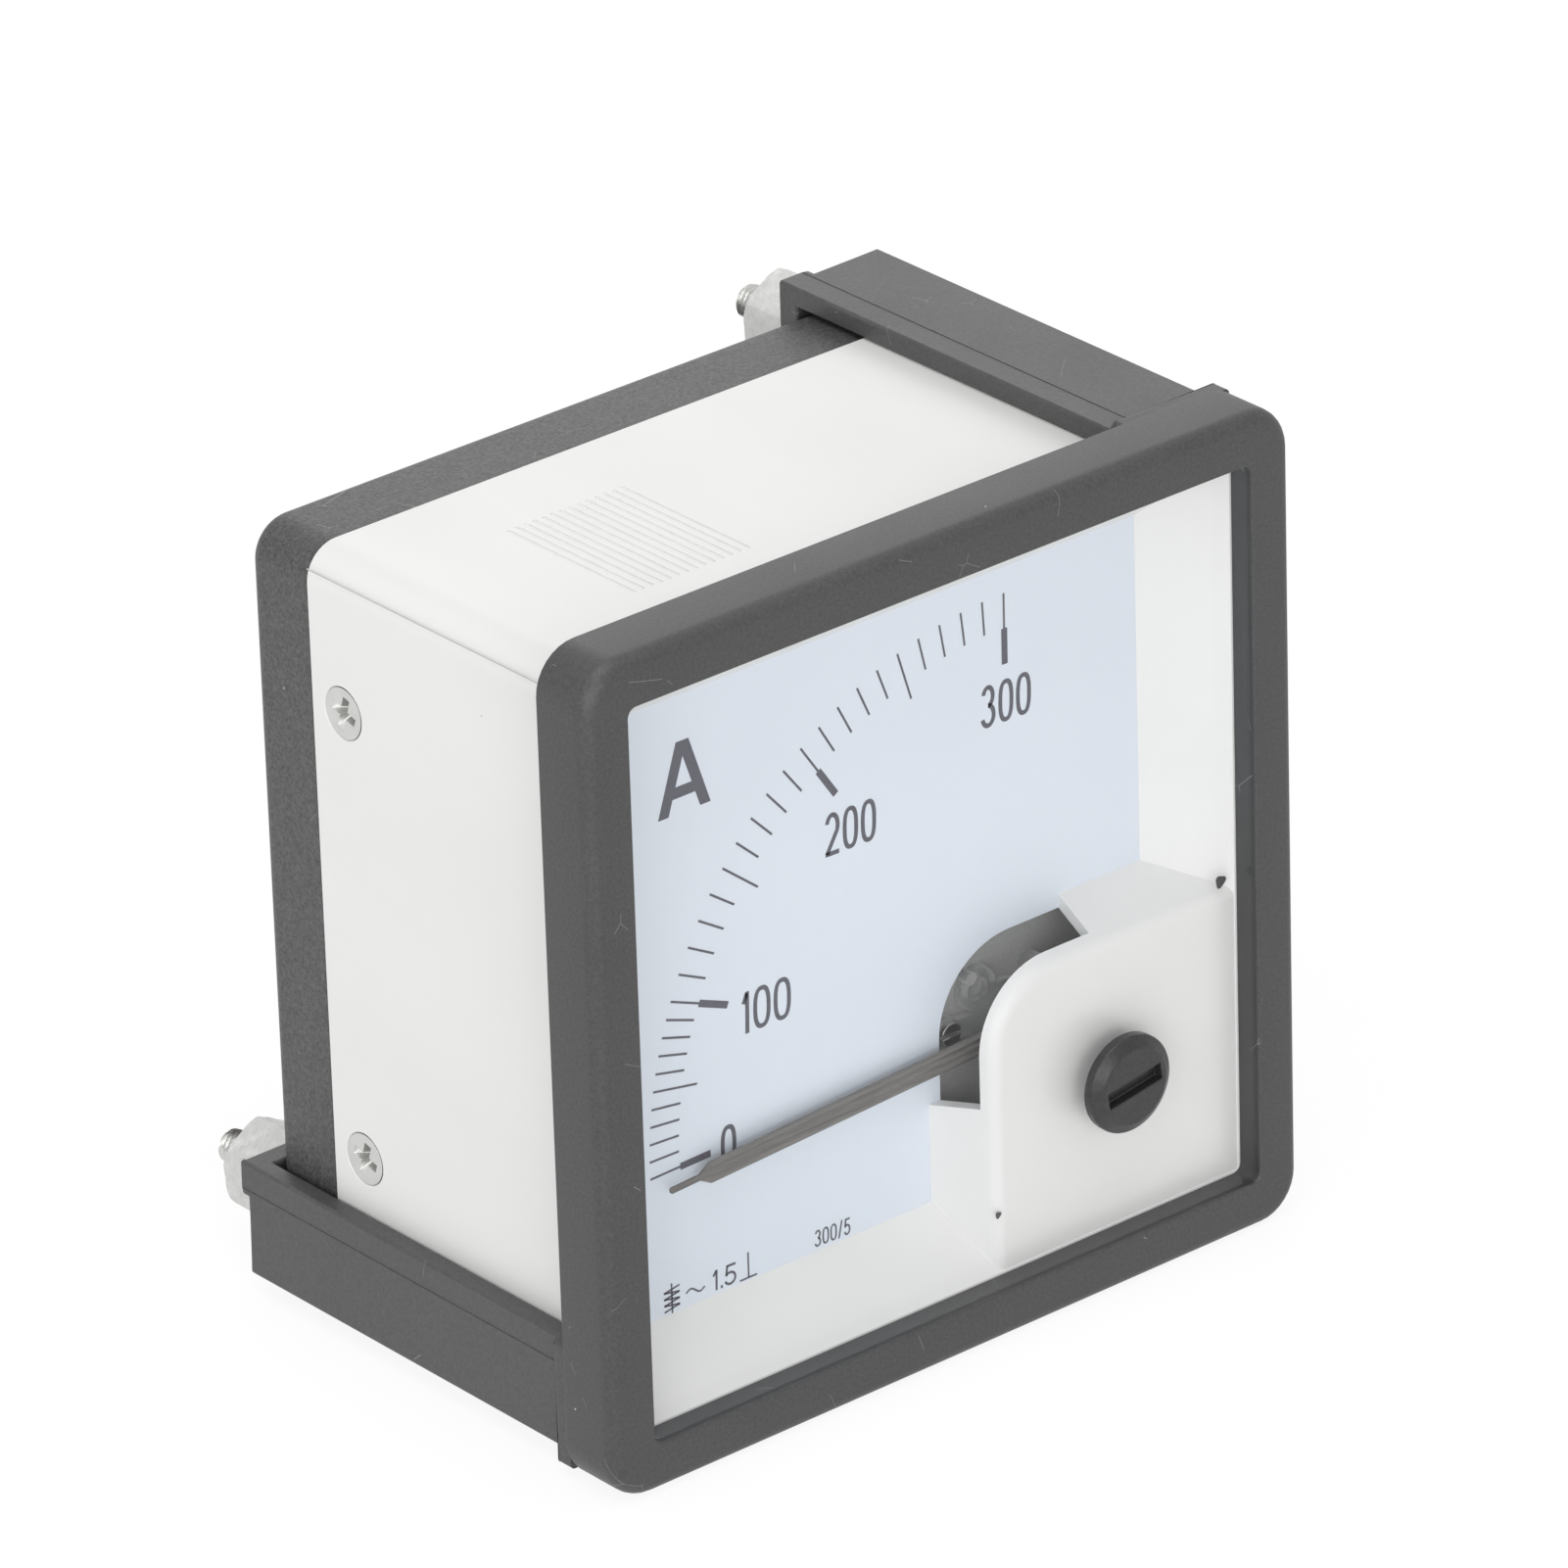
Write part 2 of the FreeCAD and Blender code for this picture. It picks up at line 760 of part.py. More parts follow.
def fixed_iron():
    y0 = coil_front + coil_flange
    y1 = coil_back - coil_flange
    radius = former_inner_r - fixed_iron_thickness - iron_gap
    sheet = curved_sheet(radius, fixed_iron_thickness, fixed_iron_span_deg, y0, y1)
    wedge_points = [
        V(-radius * 2, y0, -radius * 2),
        V(radius * 2, y0, -radius * 2),
        V(radius * 2, y0 + (y1 - y0) * 0.1, -radius * 2),
    ]
    rise = V(0, (y1 - y0) * 0.45, radius * 4)
    low = Part.Face(Part.makePolygon([
        wedge_points[0], wedge_points[0] + rise, V(-radius * 2, y0, radius * 2), wedge_points[0],
    ])).extrude(V(radius * 4, 0, 0))
    shape = sheet.cut(low)
    shape.rotate(ORIGIN, AXIS_Y, fixed_iron_lead_deg)
    return to_pivot(one(shape))


def damper_vane():
    y0 = plate_depth + vane_clearance
    y1 = chamber_back - vane_clearance
    reach = chamber_r - vane_clearance
    paddle = box(-reach, -vane_inner_r, y0, y1, -vane_thickness / 2, vane_thickness / 2)
    mid = (y0 + y1) / 2
    stalk = box(-vane_inner_r, 0, mid - 0.5, mid + 0.5, -vane_thickness / 2, vane_thickness / 2)
    sleeve = disc(collet_r, mid - 0.8, mid + 0.8)
    shape = paddle.fuse([stalk, sleeve]).cut(disc(spindle_r, y0, y1))
    return to_pivot(one(shape))


def moment_about_pivot(shape, density):
    """Mass times distance along the pointer's zero line, positive towards the tip."""
    a = math.radians(pointer_zero_deg)
    c = shape.CenterOfMass
    along = (c.x - pivot_x) * math.cos(a) + (c.z - pivot_z) * math.sin(a)
    return shape.Volume * density * along


def balance_weight(carried):
    """Round weight on the tail whose radius balances the moving pieces about the spindle."""
    moment = sum(moment_about_pivot(shape, density) for shape, density in carried)
    area = moment / (brass_density * weight_height * weight_pitch)
    front = pointer_plane + pointer_thickness / 2
    weight = disc(math.sqrt(area / math.pi), front, front + weight_height, -weight_pitch, 0)
    return to_pivot(weight)


def hairspring():
    """Flat spiral strip from the collet out to the lever's stud, drawn in half circles."""
    y0 = lever_back + lever_gap
    start_r = collet_r + hairspring_gap
    halves = int(hairspring_turns * 2)
    grow = (hairspring_outer_r - start_r) / halves
    toward_stud = math.radians(lever_angle())
    inside, outside = [], []
    for i in range(halves):
        # The centre steps to and fro by half a pitch, so that the half circles join.
        turn = toward_stud + math.pi * (i - halves)
        centre_x, centre_z = polar(-grow / 2, math.degrees(turn), 0, 0)
        for chain, extra in ((inside, 0), (outside, hairspring_strip)):
            r = start_r + grow * (i + 0.5) + extra
            points = []
            for a in (turn, turn + math.pi / 2, turn + math.pi):
                points.append(V(centre_x + r * math.cos(a), y0, centre_z + r * math.sin(a)))
            chain.append(points)
    edges = [Part.Arc(*points).toShape() for points in inside + outside]
    edges.append(Part.LineSegment(inside[0][0], outside[0][0]).toShape())
    edges.append(Part.LineSegment(inside[-1][2], outside[-1][2]).toShape())
    wire = Part.Wire(Part.__sortEdges__(edges))
    strip = Part.Face(wire).extrude(V(0, hairspring_height, 0))
    strip.translate(V(pivot_x, 0, pivot_z))
    return strip


def lever_angle():
    return math.degrees(math.atan2(zero_z - pivot_z, zero_x - pivot_x))


def lever_length():
    return math.hypot(zero_x - pivot_x, zero_z - pivot_z) + zero_pin_offset


def zero_lever():
    """Ring on the front jewel boss with a fork round the adjuster's eccentric pin."""
    reach = lever_length()
    ring_part = disc(lever_ring_r, lever_front, lever_back)
    arm = box(0, reach, lever_front, lever_back, -lever_arm_width / 2, lever_arm_width / 2)
    fork_start = reach - fork_depth / 2
    fork_end = reach + fork_depth / 2
    fork = box(fork_start, fork_end, lever_front, lever_back, -fork_width / 2, fork_width / 2)
    gap = zero_pin_r + fork_clearance
    slot = box(fork_start + fork_web, fork_end, lever_front, lever_back, -gap, gap)
    stud_r = hairspring_outer_r + hairspring_strip
    stud_end = lever_back + lever_gap + hairspring_height
    stud_half = spring_stud_width / 2
    stud = box(stud_r, stud_r + spring_stud_length, lever_back, stud_end, -stud_half, stud_half)
    shape = ring_part.fuse([arm, fork, stud]).cut(slot)
    shape = shape.cut(disc(jewel_screw_r + jewel_gap, lever_front, lever_back))
    shape.rotate(ORIGIN, AXIS_Y, -lever_angle())
    shape.translate(V(pivot_x, 0, pivot_z))
    return one(shape)


def zero_screw():
    """Slotted head in front of the pane, shaft through it and an eccentric pin."""
    head_back = pane_front - zero_head_gap
    head_front = head_back - zero_head_thickness
    bevel_back = head_front + zero_head_bevel_depth
    head = disc(zero_head_r, bevel_back, head_back)
    bevel = cone(zero_head_r - zero_head_bevel, zero_head_r, head_front, bevel_back)
    collar_front = block_plate_back + zero_collar_gap
    collar_back = collar_front + zero_collar_thickness
    shaft = disc(zero_shaft_r, head_back, collar_back)
    collar = disc(zero_collar_r, collar_front, collar_back)
    away = math.radians(lever_angle())
    pin = disc(
        zero_pin_r,
        collar_back,
        lever_back + zero_pin_end,
        zero_pin_offset * math.cos(away),
        zero_pin_offset * math.sin(away),
    )
    screw = head.fuse([bevel, shaft, collar, pin])
    half, wide = zero_slot_length / 2, zero_slot_width / 2
    slot = box(-half, half, head_front, head_front + zero_slot_depth, -wide, wide)
    slot.rotate(ORIGIN, AXIS_Y, -zero_slot_deg)
    screw = one(screw.cut(slot))
    screw.translate(V(zero_x, 0, zero_z))
    return screw


def front_bridge():
    """Clear arm that carries the front jewel, on a leg beside the sweep of the tail."""
    bar = bar_along(bridge_angle_deg, 0, bridge_reach, bridge_width, bridge_front, bridge_back)
    x, z = polar(bridge_reach, bridge_angle_deg)
    ends = [
        disc(bridge_width / 2, bridge_front, bridge_back, pivot_x, pivot_z),
        disc(bridge_width / 2, bridge_front, bridge_back, x, z),
    ]
    leg = disc(bridge_leg_r, bridge_back, plate_depth, x, z)
    bridge = bar.fuse(ends + [leg])
    return one(bridge.cut(disc(jewel_screw_r, bridge_front, bridge_back, pivot_x, pivot_z)))


def jewel_screw(head_y, tip_y, pocket_y):
    """Slotted brass screw whose hollow end holds one pivot of the spindle."""
    low, high = min(head_y, tip_y), max(head_y, tip_y)
    body = disc(jewel_screw_r, low, high)
    inward = 1 if tip_y > head_y else -1
    slot_end = head_y + inward * jewel_head
    near, far = min(head_y, slot_end), max(head_y, slot_end)
    half = small_slot_width / 2
    slot = box(-jewel_screw_r, jewel_screw_r, near, far, -half, half)
    cup_r = spindle_r + jewel_gap
    cup = disc(cup_r, min(pocket_y, tip_y), max(pocket_y, tip_y))
    shape = body.cut([slot, cup])
    shape.translate(V(pivot_x, 0, pivot_z))
    return one(shape)


def front_jewel_screw():
    return jewel_screw(bridge_front - jewel_stand_out, lever_back, spindle_front - jewel_gap)


def rear_jewel_screw():
    back = rear_bridge_back + jewel_head
    return jewel_screw(back, coil_back - jewel_gap - spindle_cone, coil_back)


def frame_plate(y0, y1):
    """Square plate that covers the four pillars of the movement."""
    r = pillar_reach / math.sqrt(2) + pillar_r + plate_margin
    return plate(pivot_x - r, pivot_x + r, pivot_z - r, pivot_z + r, pillar_r, y0, y1)


def damper_box():
    """Dark moulded plate with a wedge-shaped air chamber behind it."""
    shape = frame_plate(plate_depth, plate_back)
    margin_deg = math.degrees(chamber_wall / chamber_r)
    wall = sector(
        chamber_r + chamber_wall,
        chamber_start_deg - margin_deg,
        chamber_end_deg + margin_deg,
        plate_depth,
        chamber_back + chamber_floor,
    )
    hub = disc(chamber_hub_r + chamber_wall, plate_depth, chamber_back + chamber_floor, pivot_x, pivot_z)
    shape = shape.fuse([wall, hub])
    air = sector(chamber_r, chamber_start_deg, chamber_end_deg, plate_depth, chamber_back)
    middle = disc(chamber_hub_r, plate_depth, chamber_back, pivot_x, pivot_z)
    bore = disc(lid_hole_r, plate_depth, chamber_back + chamber_floor, pivot_x, pivot_z)
    shape = shape.cut([air, middle, bore])
    for x, z in pillar_places():
        shape = shape.cut(disc(frame_screw_r, plate_depth, plate_back, x, z))
    lug_x, lug_z = polar(lid_lug_reach, lid_lug_deg)
    return one(shape.cut(disc(lid_screw_r, plate_depth, plate_back, lug_x, lug_z)))


def damper_lid():
    """Clear lid of the air chamber, with a hooked clip and a screw lug."""
    margin_deg = math.degrees(lid_margin / chamber_r)
    cover = sector(
        chamber_r + lid_margin,
        chamber_start_deg - margin_deg,
        chamber_end_deg + margin_deg,
        lid_front,
        plate_depth,
    )
    hub = disc(chamber_hub_r + lid_margin, lid_front, plate_depth, pivot_x, pivot_z)
    lug_x, lug_z = polar(lid_lug_reach, lid_lug_deg)
    lug = disc(lid_lug_r, lid_front, plate_depth, lug_x, lug_z)
    lug_arm = bar_along(lid_lug_deg, chamber_hub_r, lid_lug_reach, lid_arm_width, lid_front, plate_depth)
    hook_x, hook_z = polar(lid_hook_reach - lid_hook_r, lid_hook_deg)
    hook = ring(lid_hook_r, lid_hook_hole_r, lid_front, plate_depth, hook_x, hook_z)
    tooth_x, tooth_z = polar(lid_hook_reach, lid_hook_deg)
    tooth = disc(lid_tooth_r, lid_front - lid_tooth_height, plate_depth, tooth_x, tooth_z)
    shape = cover.fuse([hub, lug, lug_arm, hook, tooth])
    shape = shape.cut(disc(lid_hole_r, lid_front, plate_depth, pivot_x, pivot_z))
    return one(shape.cut(disc(lid_screw_r, lid_front, plate_depth, lug_x, lug_z)))


def lid_screw():
    x, z = polar(lid_lug_reach, lid_lug_deg)
    top = lid_front - lid_screw_head
    half = small_slot_width / 2
    head = disc(lid_screw_head_r, top, lid_front, x, z)
    slot = box(
        x - lid_screw_head_r, x + lid_screw_head_r, top, top + small_slot_depth, z - half, z + half
    )
    return one(head.fuse(disc(lid_screw_r, lid_front, plate_back, x, z)).cut(slot))


def pillar_places():
    return [polar(pillar_reach, 45 + 90 * i) for i in range(4)]


def front_pillars():
    bars = []
    for x, z in pillar_places():
        bar = disc(pillar_r, plate_back, coil_back, x, z)
        hole = disc(frame_screw_r, plate_back, plate_back + frame_screw_length, x, z)
        bars.append(bar.cut(hole))
    return Part.makeCompound(bars)


def rear_pillars():
    bars = [disc(pillar_r, rear_bridge_back, cover_inner_back, x, z) for x, z in pillar_places()]
    return Part.makeCompound(bars)


def frame_screws():
    screws = []
    for x, z in pillar_places():
        top = plate_depth - frame_screw_head
        half = frame_slot_width / 2
        head = disc(frame_screw_head_r, top, plate_depth, x, z)
        slot = box(
            x - frame_screw_head_r, x + frame_screw_head_r, top, top + frame_slot_depth,
            z - half, z + half,
        )
        shaft = disc(frame_screw_r, plate_depth, plate_back + frame_screw_length, x, z)
        screws.append(one(head.fuse(shaft).cut(slot)))
    return Part.makeCompound(screws)


def rear_bridge():
    shape = frame_plate(coil_back, rear_bridge_back)
    return one(shape.cut(disc(jewel_screw_r, coil_back, rear_bridge_back, pivot_x, pivot_z)))


def coil_former():
    outer_r = former_inner_r + former_wall
    tube = disc(outer_r, coil_front, coil_back)
    flanges = [
        disc(former_flange_r, coil_front, coil_front + coil_flange),
        disc(former_flange_r, coil_back - coil_flange, coil_back),
    ]
    shape = tube.fuse(flanges).cut(disc(former_inner_r, coil_front, coil_back))
    shape.translate(V(pivot_x, 0, pivot_z))
    return one(shape)


def coil_winding():
    """A few turns of thick wire, drawn as a ring with one ridge per turn."""
    y0 = coil_front + coil_flange
    y1 = coil_back - coil_flange
    inner = former_inner_r + former_wall
    pitch = (y1 - y0) / winding_turns
    core_r = winding_outer_r - winding_bulge
    edges = [Part.LineSegment(V(inner, y0, 0), V(core_r, y0, 0)).toShape()]
    for i in range(winding_turns):
        a = y0 + pitch * i
        crest = V(winding_outer_r, a + pitch / 2, 0)
        edges.append(Part.LineSegment(V(core_r, a, 0), crest).toShape())
        edges.append(Part.LineSegment(crest, V(core_r, a + pitch, 0)).toShape())
    edges.append(Part.LineSegment(V(core_r, y1, 0), V(inner, y1, 0)).toShape())
    edges.append(Part.LineSegment(V(inner, y1, 0), V(inner, y0, 0)).toShape())
    shape = Part.Face(Part.Wire(edges)).revolve(ORIGIN, AXIS_Y, 360)
    shape.translate(V(pivot_x, 0, pivot_z))
    return shape


def bent_path(points, bend_r):
    """Straight runs joined by arcs that touch both runs at each corner."""
    edges = []
    start = points[0]
    for before, corner, after in zip(points, points[1:], points[2:]):
        u = (before - corner).normalize()
        w = (after - corner).normalize()
        half_turn_angle = (math.pi - u.getAngle(w)) / 2
        cut_back = bend_r * math.tan(half_turn_angle)
        inward = (u + w).normalize()
        middle = corner + inward * (bend_r / math.cos(half_turn_angle) - bend_r)
        edges.append(Part.LineSegment(start, corner + u * cut_back).toShape())
        edges.append(Part.Arc(corner + u * cut_back, middle, corner + w * cut_back).toShape())
        start = corner + w * cut_back
    edges.append(Part.LineSegment(start, points[-1]).toShape())
    return Part.Wire(edges)


def round_wire(points, radius, bend_r):
    """Stiff round wire along a bent path."""
    section = Part.Wire(Part.makeCircle(radius, points[0], points[1] - points[0]))
    return bent_path(points, bend_r).makePipeShell([section], True, True)


def coil_lead(side):
    """Copper lead from the winding to the tabbed ring lug on one terminal."""
    ring_back = terminal_flange_front
    ring_front = ring_back - lug_ring
    x = side * terminal_x
    lug = ring(lug_ring_r, terminal_r, ring_front, ring_back, x, terminal_z)
    half = lug_tab_width / 2
    tab = box(terminal_r, lug_tab_reach + half, ring_front, ring_back, -half, half)
    tab.rotate(ORIGIN, AXIS_Y, 0 if side < 0 else 90)
    tab.translate(V(x, 0, terminal_z))
    end_x = x + lug_tab_reach if side < 0 else x
    end_z = terminal_z if side < 0 else terminal_z - lug_tab_reach
    start_x = pivot_x + side * (winding_outer_r - lead_r / 2)
    bend_x = pivot_x + side * (winding_outer_r + lead_stand_off)
    points = [
        V(start_x, lead_start_y, pivot_z),
        V(bend_x, lead_start_y, pivot_z),
        V(bend_x, rear_bridge_back + lead_stand_off, pivot_z),
        V(end_x, ring_front - lead_stand_off, end_z),
        V(end_x, ring_front, end_z),
    ]
    lead = round_wire(points, lead_r, lead_bend_r).fuse([lug, tab])
    return one(lead.cut([coil_winding(), disc(terminal_r, ring_front, ring_back, x, terminal_z)]))


def terminal_stud(side):
    x = side * terminal_x
    rod = disc(terminal_r, terminal_inner_end, terminal_end - tip_chamfer, x, terminal_z)
    tip = cone(
        terminal_r, terminal_r - tip_chamfer, terminal_end - tip_chamfer, terminal_end, x, terminal_z
    )
    flange = disc(terminal_flange_r, terminal_flange_front, cover_inner_back, x, terminal_z)
    return one(rod.fuse([tip, flange]))


def terminal_nuts(width, y0, y1, turn_deg):
    nuts = []
    for side in (-1, 1):
        nuts.append(hex_nut(width, terminal_r, y0, y1, side * terminal_x, terminal_z, turn_deg))
    return Part.makeCompound(nuts)


def terminal_inner_nuts():
    back = inner_nut_front + inner_nut_height
    return terminal_nuts(terminal_nut_width, inner_nut_front, back, 10.0)


def terminal_lock_nuts():
    return terminal_nuts(terminal_nut_width, pad_back, lock_nut_back, 0.0)


def flat_washer_at(side):
    return ring(
        flat_washer_r, terminal_r + washer_fit, lock_nut_back, flat_washer_back,
        side * terminal_x, terminal_z,
    )


def spring_washer_at(side):
    x = side * terminal_x
    body = ring(
        spring_washer_r, terminal_r + washer_fit, flat_washer_back, spring_washer_back, x, terminal_z
    )
    split = box(
        x - spring_washer_gap / 2, x + spring_washer_gap / 2, flat_washer_back - 1,
        spring_washer_back + 1, terminal_z, terminal_z + 2 * spring_washer_r,
    )
    split.rotate(V(x, (flat_washer_back + spring_washer_back) / 2, terminal_z), V(0, 0, 1), 30)
    return body.cut(split)


def terminal_nut(side):
    return hex_nut(
        terminal_nut_width, terminal_r + thread_fit, spring_washer_back,
        spring_washer_back + terminal_nut_height, side * terminal_x, terminal_z, 15.0,
    )


def rear_cover():
    """Black tray that closes the case, with a lip, screw lugs and stud bosses."""
    shell = square(cover_half, cover_corner_r, cover_front + cover_gap, cover_back)
    shell = shell.makeFillet(cover_edge_r, edges_where(shell, lambda e: at_y(e, cover_back)))
    lip = square(lip_half, inner_corner_r, cover_front - lip_length, cover_front + cover_gap)
    shell = shell.fuse(lip)
    hollow_half = lip_half - lip_wall
    shell = shell.cut(square(hollow_half, 1.0, cover_front - lip_length, cover_inner_back))
    additions = []
    for side, z in screw_places():
        x0 = side * (lip_half - lug_thickness)
        x1 = side * lip_half
        additions.append(
            box(min(x0, x1), max(x0, x1), lug_front, cover_front, z - lug_width / 2, z + lug_width / 2)
        )
    for sign in (1, -1):
        place = sign * clamp_stud_place
        boss = disc(clamp_boss_r, clamp_boss_front, cover_inner_back, place, place)
        additions.append(boss.common(square(hollow_half + 0.5, 0, cover_front, cover_back)))
    for side in (1, -1):
        additions.append(disc(terminal_pad_r, cover_back - 0.5, pad_back, side * terminal_x, terminal_z))
    shell = shell.fuse(additions)
    for side, z in screw_places():
        start = V(side * (lip_half + 1), case_screw_y, z)
        shell = shell.cut(Part.makeCylinder(screw_shaft_r, lug_thickness + 2, start, V(-side, 0, 0)))
    for side in (1, -1):
        shell = shell.cut(disc(terminal_r, cover_front, pad_back, side * terminal_x, terminal_z))
    for sign in (1, -1):
        place = sign * clamp_stud_place
        stud_front = clamp_boss_front + clamp_boss_floor
        shell = shell.cut(disc(clamp_stud_r, stud_front, cover_back, place, place))
    return one(shell)


def clamp_studs():
    studs = []
    for sign in (1, -1):
        place = sign * clamp_stud_place
        chamfer_y = clamp_stud_end - tip_chamfer
        rod = disc(clamp_stud_r, clamp_boss_front + clamp_boss_floor, chamfer_y, place, place)
        tip = cone(clamp_stud_r, clamp_stud_r - tip_chamfer, chamfer_y, clamp_stud_end, place, place)
        studs.append(one(rod.fuse(tip)))
    return Part.makeCompound(studs)


def clamp_rail():
    """Corner rail with a foot that bears on the panel and an end plate for its stud."""
    length_end = rail_back
    outer = plate(rail_edge, rail_outer, rail_edge, rail_outer, rail_edge_r, rail_front, length_end)
    foot = plate(
        rail_edge, rail_outer + foot_height, rail_edge, rail_outer + foot_height, rail_edge_r,
        rail_front, rail_front + foot_length,
    )
    slope = taper(
        [rail_edge, rail_outer + foot_height] * 2,
        rail_front + foot_length,
        [rail_edge, rail_outer] * 2,
        rail_front + foot_length + foot_relief_r,
    )
    shape = outer.fuse([foot, slope])
    inside_end = cover_back + rail_end_gap
    shape = shape.cut(box(rail_edge - 1, rail_inner, rail_front - 1, inside_end, rail_edge - 1, rail_inner))
    step_x = box(
        rail_edge - 1, rail_edge + rail_step_width, rail_front + foot_length + foot_relief_r,
        rail_back + 1, rail_outer - rail_step_depth, rail_outer + 1,
    )
    step_z = box(
        rail_outer - rail_step_depth, rail_outer + 1, rail_front + foot_length + foot_relief_r,
        rail_back + 1, rail_edge - 1, rail_edge + rail_step_width,
    )
    notch_y = rail_back - rail_notch_depth
    notch_x = box(rail_notch_start, rail_outer + 1, notch_y, rail_back + 1, rail_inner, rail_outer + 1)
    notch_z = box(rail_inner, rail_outer + 1, notch_y, rail_back + 1, rail_notch_start, rail_outer + 1)
    shape = shape.cut([step_x, step_z, notch_x, notch_z])
    hole_r = clamp_stud_r + clamp_stud_fit
    return one(shape.cut(disc(hole_r, inside_end - 1, rail_back + 1, clamp_stud_place, clamp_stud_place)))


def clamp_nut(sign, turn_deg):
    place = sign * clamp_stud_place
    return hex_nut(
        clamp_nut_width, clamp_stud_r + thread_fit, rail_back, rail_back + clamp_nut_height,
        place, place, turn_deg,
    )


def build():
    upper_rail = clamp_rail()
    moving = {
        "pointer": pointer(),
        "spindle": spindle(),
        "moving_iron": moving_iron(),
        "damper_vane": damper_vane(),
    }
    densities = {
        "pointer": aluminium_density,
        "spindle": steel_density,
        "moving_iron": steel_density,
        "damper_vane": aluminium_density,
    }
    carried = [(shape, densities[name]) for name, shape in moving.items()]
    nodes = {
        "front_bezel": front_bezel(),
        "window": window(),
        "dial_mask": dial_mask(),
        "dial_plate": dial_plate(),
        "case_body": case_body(),
        "rear_cover": rear_cover(),
        "case_screws": case_screws(),
        "balance_weight": balance_weight(carried),
        "hairspring": hairspring(),
        "zero_lever": zero_lever(),
        "zero_screw": zero_screw(),
        "front_bridge": front_bridge(),
        "front_jewel_screw": front_jewel_screw(),
        "rear_jewel_screw": rear_jewel_screw(),
        "damper_box": damper_box(),
        "damper_lid": damper_lid(),
        "lid_screw": lid_screw(),
        "front_pillars": front_pillars(),
        "rear_pillars": rear_pillars(),
        "frame_screws": frame_screws(),
        "rear_bridge": rear_bridge(),
        "coil_former": coil_former(),
        "coil_winding": coil_winding(),
        "fixed_iron": fixed_iron(),
        "terminal_inner_nuts": terminal_inner_nuts(),
        "terminal_lock_nuts": terminal_lock_nuts(),
        "clamp_studs": clamp_studs(),
        "clamp_rail_upper": upper_rail,
        "clamp_rail_lower": half_turn(upper_rail),
        "clamp_nut_upper": clamp_nut(1, clamp_nut_upper_deg),
        "clamp_nut_lower": clamp_nut(-1, clamp_nut_lower_deg),
    }
    nodes.update(moving)
    for side, word in ((-1, "left"), (1, "right")):
        nodes["coil_lead_" + word] = coil_lead(side)
        nodes["terminal_stud_" + word] = terminal_stud(side)
        nodes["flat_washer_" + word] = flat_washer_at(side)
        nodes["spring_washer_" + word] = spring_washer_at(side)
        nodes["terminal_nut_" + word] = terminal_nut(side)
    return nodes


os.makedirs("parts", exist_ok=True)
for node, shape in build().items():
    shape.exportStep("parts/" + node + ".step")
    print(node, len(shape.Solids), round(shape.Volume, 2), shape.isValid())
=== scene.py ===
# %% [markdown]
# # A square panel ammeter
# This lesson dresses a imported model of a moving-iron ammeter: a black bezel, a white case, a pale
# blue dial behind a clear pane, and two clamp rails that hold the meter in its panel.
# The solids come in as a fixed frame. We add the surfaces that the eye needs, such as rounded
# lips, threads, printed figures and a pressed pointer, and give every piece its own finish.

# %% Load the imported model
import json
import math
import bmesh
import bpy
import numpy as np
from mathutils import Matrix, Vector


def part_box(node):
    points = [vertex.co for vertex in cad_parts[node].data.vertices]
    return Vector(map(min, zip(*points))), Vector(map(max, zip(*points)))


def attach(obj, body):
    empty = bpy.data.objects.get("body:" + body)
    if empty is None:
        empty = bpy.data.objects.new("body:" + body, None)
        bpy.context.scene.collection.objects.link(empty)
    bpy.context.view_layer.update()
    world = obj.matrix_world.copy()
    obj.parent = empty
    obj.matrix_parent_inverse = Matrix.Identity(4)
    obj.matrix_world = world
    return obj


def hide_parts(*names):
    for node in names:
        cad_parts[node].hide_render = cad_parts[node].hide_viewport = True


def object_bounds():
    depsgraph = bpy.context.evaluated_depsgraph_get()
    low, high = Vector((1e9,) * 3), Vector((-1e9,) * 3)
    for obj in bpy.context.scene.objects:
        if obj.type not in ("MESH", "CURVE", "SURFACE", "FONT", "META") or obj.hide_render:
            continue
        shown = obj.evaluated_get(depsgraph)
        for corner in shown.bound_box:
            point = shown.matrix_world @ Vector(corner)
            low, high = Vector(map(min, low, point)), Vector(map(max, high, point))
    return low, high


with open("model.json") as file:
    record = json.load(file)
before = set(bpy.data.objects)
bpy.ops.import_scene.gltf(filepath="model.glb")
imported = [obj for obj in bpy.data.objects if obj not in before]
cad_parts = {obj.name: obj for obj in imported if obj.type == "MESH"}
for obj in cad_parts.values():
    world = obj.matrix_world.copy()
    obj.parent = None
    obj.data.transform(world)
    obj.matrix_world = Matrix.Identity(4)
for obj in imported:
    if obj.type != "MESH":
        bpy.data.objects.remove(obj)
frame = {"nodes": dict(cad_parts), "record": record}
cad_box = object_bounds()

MM = 0.001
nodes = frame["nodes"]
members = frame["record"]["behaviour"]["bodies"]
body_of = {node: body for body, names in members.items() for node in names}

# %% [markdown]
# ## Where things are
# Every size is in millimetres, in the meter's own frame: X to the right seen from the front,
# Y into the panel, Z up, with Y = 0 on the face that bears on the panel. The boxes of the packed
# nodes give the places, so nothing here has to be fitted afterwards.


# %% Places read from the frame
def corners(node):
    """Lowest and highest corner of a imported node, in mm."""
    low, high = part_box(node)
    return np.array(low) / MM, np.array(high) / MM


def centre(node):
    """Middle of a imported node's box, in mm."""
    low, high = corners(node)
    return (low + high) / 2


def mesh_points(mesh):
    """All points of a mesh in mm, one row each."""
    flat = np.empty(len(mesh.vertices) * 3)
    mesh.vertices.foreach_get("co", flat)
    return flat.reshape(-1, 3) / MM


